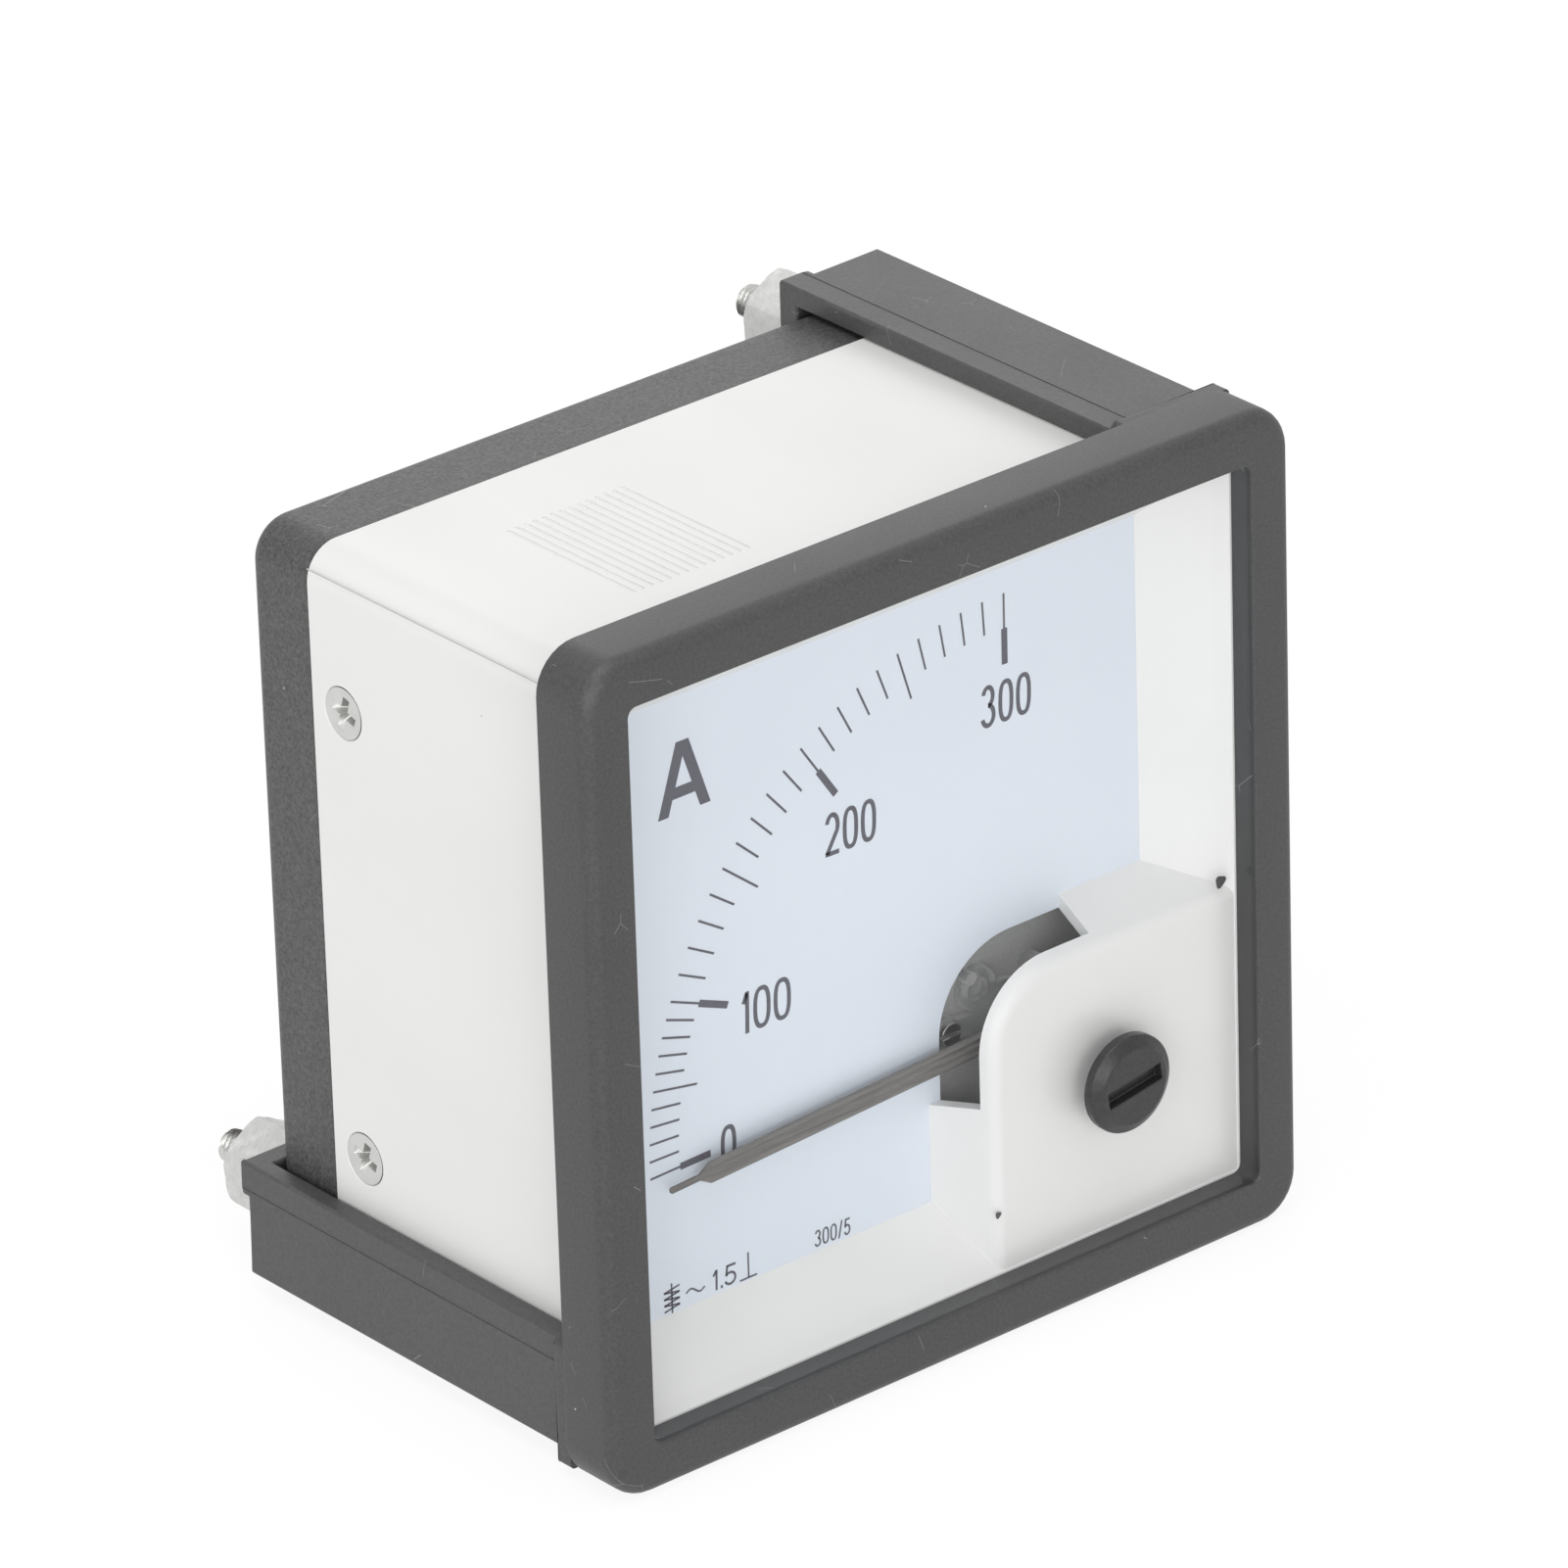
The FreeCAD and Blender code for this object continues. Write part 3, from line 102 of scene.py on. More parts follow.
bezel_low, bezel_high = corners("front_bezel")
pane_low, pane_high = corners("window")
dial_face = corners("dial_plate")[0][1]
spindle = centre("spindle")
adjuster = centre("zero_screw")
bezel_half = bezel_high[0]
front_y, rear_y = bezel_low[1], bezel_high[1]
pane_front, pane_back = pane_low[1], pane_high[1]
pivot_x, pivot_z = spindle[0], spindle[2]
print("bezel", bezel_half * 2, "pane from", pane_front, "to", pane_back, "dial face at", dial_face)

# %% [markdown]
# ## The camera
# The photograph was taken from the front left and above with a long lens, so the parallel edges
# of the square converge only a little. The camera's place was solved from the bezel's corners.
# The direction, the small roll and the shift of the frame are set straight on the camera.

# %% Camera
camera_place = np.array([-565.59, -669.81, 445.09])
camera_target = np.array([2.54, 18.05, 4.93])
camera_roll_deg = -1.825
camera_lens = 288.2
camera_shift = 0.00334, 0.00257

view = camera_target - camera_place
view /= np.linalg.norm(view)
level_right = np.cross(view, [0, 0, 1])
level_right /= np.linalg.norm(level_right)
level_up = np.cross(level_right, view)
roll = math.radians(camera_roll_deg)
right = math.cos(roll) * level_right + math.sin(roll) * level_up
up = math.cos(roll) * level_up - math.sin(roll) * level_right


def set_up(name, data, axes, place):
    """A camera or lamp at a place in mm. Its axes point right, up and back from what it sees."""
    thing = bpy.data.objects.new(name, data)
    bpy.context.scene.collection.objects.link(thing)
    matrix = np.eye(4)
    matrix[:3, :3] = np.column_stack(axes)
    matrix[:3, 3] = place * MM
    thing.matrix_world = Matrix(matrix.tolist())
    return thing


camera = set_up("camera", bpy.data.cameras.new("camera"), (right, up, -view), camera_place)
camera.data.lens = camera_lens
camera.data.shift_x, camera.data.shift_y = camera_shift
camera.data.clip_start = 0.01
bpy.context.scene.camera = camera
print("camera looks along", view.round(3))

# %% [markdown]
# ## Colour, nodes and meshes
# Three small tools carry the rest. `hex_colour` turns a screen colour into the linear values that
# shaders use. `add` puts one node into a material with its settings and links. `add_piece` turns
# arrays of points and faces into an object that rides on one body of the meter.


# %% Colours and nodes
def hex_colour(text):
    """Screen hex colour to linear RGBA: the sRGB curve taken back off each channel."""
    value = np.array([int(text[i:i + 2], 16) for i in (1, 3, 5)]) / 255
    linear = np.where(value <= 0.04045, value / 12.92, ((value + 0.055) / 1.055) ** 2.4)
    return (*linear, 1.0)


def add(tree, kind, **settings):
    """One node of a kind. A setting names a property or a socket; in0 is the first socket.

    Its value is a number, a hex colour, a socket to link, or a node whose first output is linked.
    """
    node = tree.nodes.new("ShaderNode" + kind)
    for key, value in settings.items():
        if isinstance(value, bpy.types.Node):
            value = value.outputs[0]
        linked = isinstance(value, bpy.types.NodeSocket)
        if hasattr(node, key) and not linked:
            setattr(node, key, value)
            continue
        number = key[2:]
        socket = node.inputs[int(number) if number.isdigit() else key.replace("_", " ")]
        if linked:
            tree.links.new(value, socket)
        else:
            socket.default_value = hex_colour(value) if isinstance(value, str) else value
    return node


def per_mm(size):
    """Scale of a pattern in Object coordinates whose features are about `size` mm apart."""
    return 1 / (size * MM)


def new_material(name, colour, roughness, **sockets):
    """A Principled surface whose plain values sit on its own sockets."""
    material = bpy.data.materials.new(name)
    material.use_nodes = True
    tree = material.node_tree
    shader = tree.nodes["Principled BSDF"]
    shader.inputs["Base Color"].default_value = hex_colour(colour)
    shader.inputs["Roughness"].default_value = roughness
    for key, value in sockets.items():
        shader.inputs[key.replace("_", " ")].default_value = value
    place = add(tree, "TexCoord").outputs["Object"]
    return material, tree, shader, place


def finish_of(tree, shader, colour=None, roughness=None, height=None, lift=0.01):
    """Join what a material worked out to its shader; lift is the bump's height in mm."""
    if colour is not None:
        tree.links.new(colour, shader.inputs["Base Color"])
    if roughness is not None:
        tree.links.new(roughness, shader.inputs["Roughness"])
    if height is not None:
        bump = add(tree, "Bump", Height=height, Distance=lift * MM, Strength=1.0)
        tree.links.new(bump.outputs["Normal"], shader.inputs["Normal"])


print("white is", hex_colour("#FFFFFF"))


# %% Meshes from arrays
def grid_faces(rows, columns, close_rows=False, close_columns=False):
    """Quads between neighbouring points of a grid; a closed direction joins its ends."""
    index = np.arange(rows * columns).reshape(rows, columns)
    if close_rows:
        index = np.vstack([index, index[:1]])
    if close_columns:
        index = np.hstack([index, index[:, :1]])
    quads = [index[:-1, :-1], index[1:, :-1], index[1:, 1:], index[:-1, 1:]]
    return np.stack(quads, axis=-1).reshape(-1, 4)


def sheet_of(grid, close_rows=False, close_columns=False):
    """Points and quads of a surface given as a grid of points in mm."""
    faces = grid_faces(*grid.shape[:2], close_rows, close_columns)
    return grid.reshape(-1, 3), faces


def joined(parts):
    """Several (points, faces) pairs as one."""
    points, faces, count = [], [], 0
    for part_points, part_faces in parts:
        points.append(part_points)
        faces.extend((np.asarray(part_faces) + count).tolist())
        count += len(part_points)
    return np.vstack(points), faces


def welded(name, points, faces, flat_deg=0.0):
    """A mesh whose doubles are merged; faces that meet flatter than flat_deg become one."""
    mesh = bpy.data.meshes.new(name)
    mesh.from_pydata((points * MM).tolist(), [], faces)
    work = bmesh.new()
    work.from_mesh(mesh)
    bmesh.ops.remove_doubles(work, verts=work.verts, dist=0.0005 * MM)
    if flat_deg:
        bmesh.ops.dissolve_limit(work, angle_limit=math.radians(flat_deg), verts=work.verts,
                                 edges=work.edges)
    else:
        bmesh.ops.recalc_face_normals(work, faces=work.faces)
    work.to_mesh(mesh)
    work.free()
    return mesh


def add_piece(name, parts, material, body, replaced=(), smooth_deg=35.0):
    """One object from surfaces in mm, welded, turned to face outwards and set on its body."""
    points, faces = joined(parts)
    return dress(name, welded(name, points, faces), material, body, replaced, smooth_deg)


def dress(name, mesh, material, body, replaced=(), smooth_deg=35.0):
    """An object for a finished mesh, shaded smooth across edges flatter than smooth_deg."""
    mesh.polygons.foreach_set("use_smooth", np.ones(len(mesh.polygons), dtype=bool))
    mesh.set_sharp_from_angle(angle=math.radians(smooth_deg))
    mesh.materials.clear()
    mesh.materials.append(material)
    piece = bpy.data.objects.new(name, mesh)
    bpy.context.scene.collection.objects.link(piece)
    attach(piece, body)
    if replaced:
        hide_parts(*replaced)
    print(name, len(mesh.polygons), "faces on", body)
    return piece


# %% [markdown]
# ## The room
# Product photographs of small parts are taken in a light tent: soft light from all round, more
# from above and from the left. The world gives the even light, and four large lamps shape it. The
# one behind the meter puts the sheen on its top faces. The floor and the world are white to the
# camera and bright in reflections, but dimmer as light on the meter, so the white behind it costs
# it no contrast. The floor still carries a faint shadow.

# %% Room and lamps
bpy.context.scene.view_settings.view_transform = "Standard"
tent_level = 0.43
mirror_level = 0.85
floor_drop = 0.02
floor_size = 6000.0
floor_own_share = 0.86
floor_own_level = 1.04


def white_tent():
    """World light: even grey for the object, brighter in its mirrors, white where it is seen."""
    world = bpy.data.worlds.new("white_tent")
    bpy.context.scene.world = world
    world.use_nodes = True
    tree = world.node_tree
    tree.nodes.clear()
    path = add(tree, "LightPath")
    seen = add(tree, "Math", operation="MAXIMUM", in0=path.outputs["Is Camera Ray"],
               in1=path.outputs["Is Transmission Ray"])
    plain = add(tree, "Mix", data_type="FLOAT", in0=path.outputs["Is Glossy Ray"], in2=tent_level,
                in3=mirror_level)
    level = add(tree, "Mix", data_type="FLOAT", in0=seen, in2=plain, in3=1.0)
    light = add(tree, "Background", Color="#FFFFFF", Strength=level)
    add(tree, "OutputWorld", Surface=light)


def pale_floor():
    """Painted board: nearly white, with most of its brightness its own where it is seen."""
    material, tree, shader, _ = new_material("white_board", "#F4F4F4", 0.8)
    path = add(tree, "LightPath")
    seen = add(tree, "Math", operation="MAXIMUM", in0=path.outputs["Is Camera Ray"],
               in1=path.outputs["Is Glossy Ray"])
    share = add(tree, "Math", operation="MULTIPLY", in0=seen, in1=floor_own_share)
    glow = add(tree, "Emission", Color="#FFFFFF", Strength=floor_own_level)
    mixed = add(tree, "MixShader", in0=share, in1=shader, in2=glow)
    tree.links.new(mixed.outputs[0], tree.nodes["Material Output"].inputs["Surface"])
    return material


def lamp(name, place, size, power):
    """A square lamp at a place in mm, facing the meter's middle, with its side in mm."""
    data = bpy.data.lights.new(name, "AREA")
    data.shape = "SQUARE"
    data.size = size * MM
    data.energy = power
    place = np.array(place)
    back = place / np.linalg.norm(place)
    side = np.cross([0, 1, 0], back)
    side /= np.linalg.norm(side)
    set_up(name, data, (side, np.cross(back, side), back), place)


white_tent()
low_z = cad_box[0][2] / MM - floor_drop
floor_half = floor_size / 2
floor_points = np.array([[x * floor_half, y * floor_half, low_z]
                         for x, y in ((-1, -1), (1, -1), (1, 1), (-1, 1))])
floor_mesh = bpy.data.meshes.new("floor")
floor_mesh.from_pydata((floor_points * MM).tolist(), [], [(0, 1, 2, 3)])
floor_mesh.materials.append(pale_floor())
floor = bpy.data.objects.new("floor", floor_mesh)
bpy.context.scene.collection.objects.link(floor)
lamp("overhead_lamp", (-150, -80, 900), size=700, power=3.6)
lamp("left_lamp", (-800, -500, 300), size=600, power=2.9)
lamp("back_lamp", (500, 650, 420), size=500, power=0.8)
lamp("front_lamp", (-350, -900, 250), size=500, power=2.0)
print("floor at", round(low_z, 2), "mm")

# %% [markdown]
# ## Finishes of plastic
# The bezel, rear cover and rails are ABS moulded in a spark-eroded tool: dark grey to the eye,
# satin, with a fine even grain, a few pale specks of lint and hair-thin scuffs. The white case and
# mask are the same plastic in white, smoother, with faint clouds where it flowed. The real grain
# is finer than a tenth of a millimetre, so here it is drawn at 0.3 mm and more, to show at all.


# %% Black and white ABS
def dust(tree, place, spacing, share, size):
    """Mask of small specks: one round dot in some of the cells that are `spacing` mm wide."""
    cells = add(tree, "TexVoronoi", Vector=place, Scale=per_mm(spacing))
    picked = add(tree, "Math", operation="LESS_THAN", in0=cells.outputs["Color"], in1=share)
    close = add(tree, "Math", operation="LESS_THAN", in0=cells.outputs["Distance"],
                in1=size / spacing)
    return add(tree, "Math", operation="MULTIPLY", in0=picked, in1=close).outputs[0]


def scuffs(tree, place, spacing, share, width):
    """Mask of hair-thin straight scuffs: some of the borders between cells `spacing` mm wide."""
    borders = add(tree, "TexVoronoi", feature="DISTANCE_TO_EDGE", Vector=place,
                  Scale=per_mm(spacing))
    areas = add(tree, "TexNoise", Vector=place, Scale=per_mm(spacing * 0.3), Detail=1.0)
    near = add(tree, "Math", operation="LESS_THAN", in0=borders, in1=width / spacing)
    picked = add(tree, "Math", operation="GREATER_THAN", in0=areas, in1=1 - share)
    return add(tree, "Math", operation="MULTIPLY", in0=near, in1=picked).outputs[0]


def moulded_black_abs(name, colour, worn, grain_share, lift, smoothest=0.4):
    # ABS from a spark-eroded tool: the grain scatters the light, so the gloss is broad and dull.
    material, tree, shader, place = new_material(name, colour, 0.5, IOR=1.53)
    clouds = add(tree, "TexNoise", Vector=place, Scale=per_mm(9.0), Detail=4.0)
    grain = add(tree, "TexNoise", Vector=place, Scale=per_mm(0.3), Detail=3.0, Roughness=0.7)
    tone = add(tree, "Mix", data_type="RGBA", in0=clouds, in6=colour, in7=worn)
    grey = add(tree, "RGBToBW", Color=tone.outputs[2])
    light_and_dark = add(tree, "MapRange", Value=grain, From_Min=0.3, From_Max=0.7,
                         To_Min=1 - grain_share, To_Max=1 + grain_share)
    grained = add(tree, "Math", operation="MULTIPLY", in0=grey, in1=light_and_dark)
    scuffed = add(tree, "Mix", data_type="RGBA",
                  in0=scuffs(tree, place, spacing=11.0, share=0.36, width=0.014), in6=grained,
                  in7="#8C8C8C")
    dusted = add(tree, "Mix", data_type="RGBA",
                 in0=dust(tree, place, spacing=2.4, share=0.34, size=0.1), in6=scuffed.outputs[2],
                 in7="#BEBEBE")
    rough = add(tree, "MapRange", Value=clouds, To_Min=smoothest, To_Max=smoothest + 0.14)
    finish_of(tree, shader, dusted.outputs[2], rough.outputs[0], grain.outputs[0], lift)
    return material


def moulded_white_abs(name="moulded_white_abs", colour="#EDEDEC", flow="#E6E6E4"):
    # White ABS from a polished tool: soft sheen, faint flow clouds, a few dark specks.
    material, tree, shader, place = new_material(name, colour, 0.38, IOR=1.53)
    stretch = add(tree, "Mapping", Vector=place, Scale=(1.0, 0.35, 1.0))
    clouds = add(tree, "TexNoise", Vector=stretch, Scale=per_mm(12.0), Detail=5.0)
    skin = add(tree, "TexNoise", Vector=place, Scale=per_mm(0.5), Detail=2.0)
    tone = add(tree, "Mix", data_type="RGBA", in0=clouds, in6=colour, in7=flow)
    specks = dust(tree, place, spacing=5.5, share=0.2, size=0.09)
    dusted = add(tree, "Mix", data_type="RGBA", in0=specks, in6=tone.outputs[2], in7="#A2A2A0")
    rough = add(tree, "MapRange", Value=clouds, To_Min=0.3, To_Max=0.46)
    finish_of(tree, shader, dusted.outputs[2], rough.outputs[0], skin.outputs[0], 0.004)
    return material


# The numbers are the grain's share of light and dark, its height in mm, and the lowest roughness.
black_abs = moulded_black_abs("moulded_black_abs", "#434343", "#4F4F4F", 0.22, 0.02)
bezel_abs = moulded_black_abs("fine_grained_black_abs", "#3C3C3C", "#474747", 0.26, 0.02)
grained_abs = moulded_black_abs("grained_black_abs", "#434343", "#525252", 0.6, 0.06)
white_abs = moulded_white_abs()
black_nylon = moulded_black_abs("moulded_black_nylon", "#262626", "#2E2E2E", 0.4, 0.03, 0.28)
# The damper's plate is dark phenolic, painted far lighter here: painted light that makes up for the
# shade deep behind the mask's gate.
phenolic_lightened_for_shade = moulded_black_abs("phenolic_with_painted_light", "#B0B0B0", "#B8B8B8", 0.1, 0.01)
# A darker copy of the black plastic, painted shade for the opening's wall and the joint of case and
# cover.
shade_darkened_abs = moulded_black_abs("black_abs_with_painted_shade", "#2E2E2E", "#343434", 0.1, 0.005)
natural_nylon = moulded_white_abs("natural_nylon", "#DDD8C8", "#CFC9B6")
seam_grey = moulded_white_abs("shaded_seam", "#B9B9B7", "#C4C4C2")
print("plastics ready")

# %% [markdown]
# ## Finishes of metal and print
# Metals keep the default index of refraction and take their look from colour and roughness. Zinc
# plate on the small screws is bright with fine turning marks. The clamp nuts are as cast: matt,
# mottled and pitted. The dial is sheet aluminium sprayed a very pale blue, and its print is a dark
# grey ink that lies on top. The pointer is pressed from sheet and painted a warm grey.


# %% Metals
def drawn_metal(name, colour, dark, roughness, spacing):
    """Metal with marks along Y, `spacing` mm apart: drawn coarser than real ones, to show."""
    material, tree, shader, place = new_material(name, colour, roughness, Metallic=1.0)
    along = add(tree, "Mapping", Vector=place, Scale=(1.0, 0.08, 1.0))
    marks = add(tree, "TexNoise", Vector=along, Scale=per_mm(spacing), Detail=3.0)
    clouds = add(tree, "TexNoise", Vector=place, Scale=per_mm(3.0), Detail=3.0)
    tone = add(tree, "Mix", data_type="RGBA", in0=clouds, in6=colour, in7=dark)
    rough = add(tree, "MapRange", Value=marks, To_Min=roughness * 0.75, To_Max=roughness * 1.35)
    finish_of(tree, shader, tone.outputs[2], rough.outputs[0], marks.outputs[0], 0.006)
    return material


def as_cast_zinc():
    # Zinc alloy straight from the die: matt and mottled, with small pits and a lighter skin.
    material, tree, shader, place = new_material("as_cast_zinc", "#D2D2D0", 0.5, Metallic=0.5)
    mottle = add(tree, "TexNoise", Vector=place, Scale=per_mm(0.9), Detail=6.0, Roughness=0.7)
    pits = add(tree, "TexVoronoi", Vector=place, Scale=per_mm(0.45))
    bowl = add(tree, "MapRange", Value=pits.outputs["Distance"], From_Max=0.5)
    tone = add(tree, "Mix", data_type="RGBA", in0=mottle, in6="#B2B2B0", in7="#F2F2F0")
    height = add(tree, "Math", operation="MULTIPLY", in0=mottle, in1=bowl)
    rough = add(tree, "MapRange", Value=mottle, To_Min=0.38, To_Max=0.66)
    finish_of(tree, shader, tone.outputs[2], rough.outputs[0], height.outputs[0], 0.05)
    return material


# The numbers are the roughness and the spacing of the marks in mm.
zinc_plate = drawn_metal("bright_zinc_plate", "#DCDCDA", "#C2C2C0", 0.3, 0.12)
cast_zinc = as_cast_zinc()
turned_brass = drawn_metal("turned_brass", "#D9B873", "#B78F4C", 0.26, 0.1)
rolled_bronze = drawn_metal("rolled_bronze", "#C08A5A", "#A06C42", 0.3, 0.08)
enamelled_copper = drawn_metal("enamelled_copper", "#B0562F", "#8E3F20", 0.22, 0.4)
soft_iron = drawn_metal("annealed_soft_iron", "#7C7A78", "#5E5C5A", 0.5, 0.2)
ground_steel = drawn_metal("ground_steel", "#C2C3C6", "#9FA1A5", 0.2, 0.05)
rolled_foil = drawn_metal("rolled_aluminium_foil", "#DADBDD", "#BFC0C3", 0.3, 0.1)
print("metals ready")


# %% Dial paint, ink and pointer paint
def pale_blue_paint():
    # Sprayed and stoved enamel on sheet: almost flat, with a fine orange peel.
    material, tree, shader, place = new_material("pale_blue_enamel", "#DEE6F0", 0.5)
    peel = add(tree, "TexNoise", Vector=place, Scale=per_mm(0.8), Detail=3.0)
    drift = add(tree, "TexNoise", Vector=place, Scale=per_mm(30.0), Detail=2.0)
    tone = add(tree, "Mix", data_type="RGBA", in0=drift, in6="#E5ECF5", in7="#DFE7F1")
    specks = dust(tree, place, spacing=7.0, share=0.2, size=0.1)
    dusted = add(tree, "Mix", data_type="RGBA", in0=specks, in6=tone.outputs[2], in7="#8E969F")
    rough = add(tree, "MapRange", Value=peel, To_Min=0.42, To_Max=0.58)
    finish_of(tree, shader, dusted.outputs[2], rough.outputs[0], peel.outputs[0], 0.003)
    return material


def dial_ink():
    # Screen-printed ink: flat dark grey, a little thinner in places where the mesh starved.
    material, tree, shader, place = new_material("screen_printed_ink", "#5A5A63", 0.6)
    starve = add(tree, "TexNoise", Vector=place, Scale=per_mm(0.25), Detail=2.0)
    tone = add(tree, "Mix", data_type="RGBA", in0=starve, in6="#4E4E57", in7="#6A6A74")
    finish_of(tree, shader, tone.outputs[2], None, starve.outputs[0], 0.002)
    return material


def pointer_paint():
    # Warm grey paint over pressed aluminium, rubbed along its length.
    material, tree, shader, place = new_material("warm_grey_paint", "#6A6866", 0.4)
    along = add(tree, "Mapping", Vector=place, Scale=(0.05, 1.0, 1.0))
    streaks = add(tree, "TexNoise", Vector=along, Scale=per_mm(0.24), Detail=4.0)
    tone = add(tree, "Mix", data_type="RGBA", in0=streaks, in6="#4C4A48", in7="#8A8886")
    rough = add(tree, "MapRange", Value=streaks, To_Min=0.32, To_Max=0.55)
    finish_of(tree, shader, tone.outputs[2], rough.outputs[0], streaks.outputs[0], 0.01)
    return material


dial_blue = pale_blue_paint()
ink = dial_ink()
pointer_grey = pointer_paint()
print("dial finishes ready")


# %% [markdown]
# ## The clear pieces
# The pane is polished acrylic. Glass-like shaders bend what lies behind them, but the camera was
# solved on what the pane already shows, so the pane here only mirrors: a Fresnel share of
# reflection over plain transparency. The damper's lid is the same idea in a milkier plastic.


# %% Clear acrylic and polycarbonate
def clear_plastic(name, tint, mirror, haze, roughness, metallic, power):
    """Clear moulding: transparent, with a share of mirror or milk that grows at shallow angles.

    The metallic value of that share is 1 for a clean mirror and less for a milky plastic.
    """
    material, tree, shader, place = new_material(name, mirror, roughness, Metallic=metallic)
    ripple = add(tree, "TexNoise", Vector=place, Scale=per_mm(6.0), Detail=2.0)
    bump = add(tree, "Bump", Height=ripple, Distance=0.002 * MM)
    tree.links.new(bump.outputs[0], shader.inputs["Normal"])
    # Schlick's rule: a base share straight on, rising with a power towards the edge.
    slant = add(tree, "LayerWeight", Blend=0.5)
    steep = add(tree, "Math", operation="POWER", in0=slant.outputs["Facing"], in1=power)
    share = add(tree, "MapRange", Value=steep, To_Min=haze, To_Max=1.0)
    clear = add(tree, "BsdfTransparent", Color=tint)
    mixed = add(tree, "MixShader", in0=share, in1=clear, in2=shader)
    tree.links.new(mixed.outputs[0], tree.nodes["Material Output"].inputs["Surface"])
    return material


clear_acrylic = clear_plastic("clear_acrylic", "#FFFFFF", "#F4F5F6", haze=0.01, roughness=0.03,
                              metallic=1.0, power=5.0)
clear_polycarbonate = clear_plastic("clear_polycarbonate", "#F1F2F2", "#FFFFFF", haze=0.16,
                                    roughness=0.1, metallic=0.2, power=1.5)
print("clear plastics ready")

# %% [markdown]
# ## Nodes that keep their shape
# Most of the solids already have the form of the real piece, so they only need a finish. The
# table says which piece is made of what. Pieces that get a new surface below are hidden there.

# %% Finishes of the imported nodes
finishes = {
    black_abs: ["front_bezel", "clamp_rail_upper", "clamp_rail_lower"],
    grained_abs: ["rear_cover"],
    white_abs: ["dial_mask", "case_body"],
    clear_acrylic: ["window"],
    clear_polycarbonate: ["front_bridge", "damper_lid"],
    dial_blue: ["dial_plate"],
    black_nylon: ["zero_screw"],
    phenolic_lightened_for_shade: ["damper_box", "rear_bridge"],
    natural_nylon: ["coil_former"],
    zinc_plate: ["case_screws", "lid_screw", "frame_screws", "front_pillars", "rear_pillars",
                 "clamp_studs", "flat_washer_left", "flat_washer_right", "spring_washer_left",
                 "spring_washer_right"],
    cast_zinc: ["clamp_nut_upper", "clamp_nut_lower"],
    turned_brass: ["balance_weight", "front_jewel_screw", "rear_jewel_screw", "zero_lever",
                   "terminal_stud_left", "terminal_stud_right", "terminal_inner_nuts",
                   "terminal_lock_nuts", "terminal_nut_left", "terminal_nut_right"],
    rolled_bronze: ["hairspring"],
    enamelled_copper: ["coil_winding", "coil_lead_left", "coil_lead_right"],
    soft_iron: ["moving_iron", "fixed_iron"],
    ground_steel: ["spindle"],
    rolled_foil: ["damper_vane"],
    pointer_grey: ["pointer"],
}
for material, names in finishes.items():
    for name in names:
        for slot in nodes[name].material_slots:
            slot.material = material
print(sum(len(names) for names in finishes.values()), "nodes have a finish")


# %% [markdown]
# ## Edges that catch the light
# No moulded or turned edge is perfectly sharp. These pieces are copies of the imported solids: the
# doubled points are merged, the flat faces made whole again, and a bevel modifier rounds the
# sharp edges by the radius that such a piece really has. An edge gets the full weight only when
# the faces on both sides are wide enough for the arc. The rounding stays live, so the mesh below
# it is still the plain solid.


# %% Rounded copies
sharp_deg = 30.0


def weigh_edges(mesh, radius):
    """Bevel weight 1 on each sharp edge whose two faces are wider than twice the radius.

    A face's width beside an edge is taken as its area divided by the edge's length.
    """
    work = bmesh.new()
    work.from_mesh(mesh)
    weight = work.edges.layers.float.new("bevel_weight_edge")
    for edge in work.edges:
        length = edge.calc_length()
        if len(edge.link_faces) != 2 or length < radius * MM:
            continue
        width = min(face.calc_area() for face in edge.link_faces) / length
        if edge.calc_face_angle() > math.radians(sharp_deg) and width > 2 * radius * MM:
            edge[weight] = 1.0
    work.to_mesh(mesh)
    work.free()


def rounded_copy(node, material, radius):
    """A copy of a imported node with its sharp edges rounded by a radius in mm."""
    mesh = nodes[node].data
    triangles = np.empty(len(mesh.loops), dtype=int)
    mesh.loops.foreach_get("vertex_index", triangles)
    copy = welded(node + "_shell", mesh_points(mesh), triangles.reshape(-1, 3).tolist(),
                  flat_deg=0.05)
    weigh_edges(copy, radius)
    piece = dress(node + "_shell", copy, material, body_of[node], [node], sharp_deg)
    rounding = piece.modifiers.new("rounded_edges", "BEVEL")
    rounding.width = radius * MM
    rounding.segments = 3
    rounding.limit_method = "WEIGHT"
    rounding.use_clamp_overlap = False
    rounding.harden_normals = True
    return piece


edge_radii = {
    0.25: ["clamp_rail_upper", "clamp_rail_lower"],
    0.18: ["rear_cover"],
    0.12: ["zero_screw", "damper_lid", "front_bridge", "damper_box"],
    0.08: ["flat_washer_left", "flat_washer_right", "spring_washer_left", "spring_washer_right"],
    0.05: ["case_body", "case_screws", "lid_screw"],
}
finish_by_node = {name: material for material, names in finishes.items() for name in names}
for radius, names in edge_radii.items():
    for name in names:
        rounded_copy(name, finish_by_node[name], radius)

# %% [markdown]
# ## The seam of the case
# The case is moulded in two parts, and dirt and shadow draw a thin grey line in the seam. A line
# this thin needs no depth, so it is one flat strip on each side, just proud of the wall.


# %% Seam
def strip(*points):
    """One flat quad from four corners in mm."""
    return np.array(points, dtype=float), [[0, 1, 2, 3]]


case_half, seam_z, seam_half, seam_lift = 32.5, 30.8, 0.07, 0.015
seam_start, seam_end = 0.1, 32.2
seam_low, seam_high = seam_z - seam_half, seam_z + seam_half
seam_lines = []
for side in (-1, 1):
    x = side * (case_half + seam_lift)
    seam_lines.append(strip((x, seam_start, seam_low), (x, seam_end, seam_low),
                            (x, seam_end, seam_high), (x, seam_start, seam_high)))
add_piece("case_seam", seam_lines, seam_grey, "root")

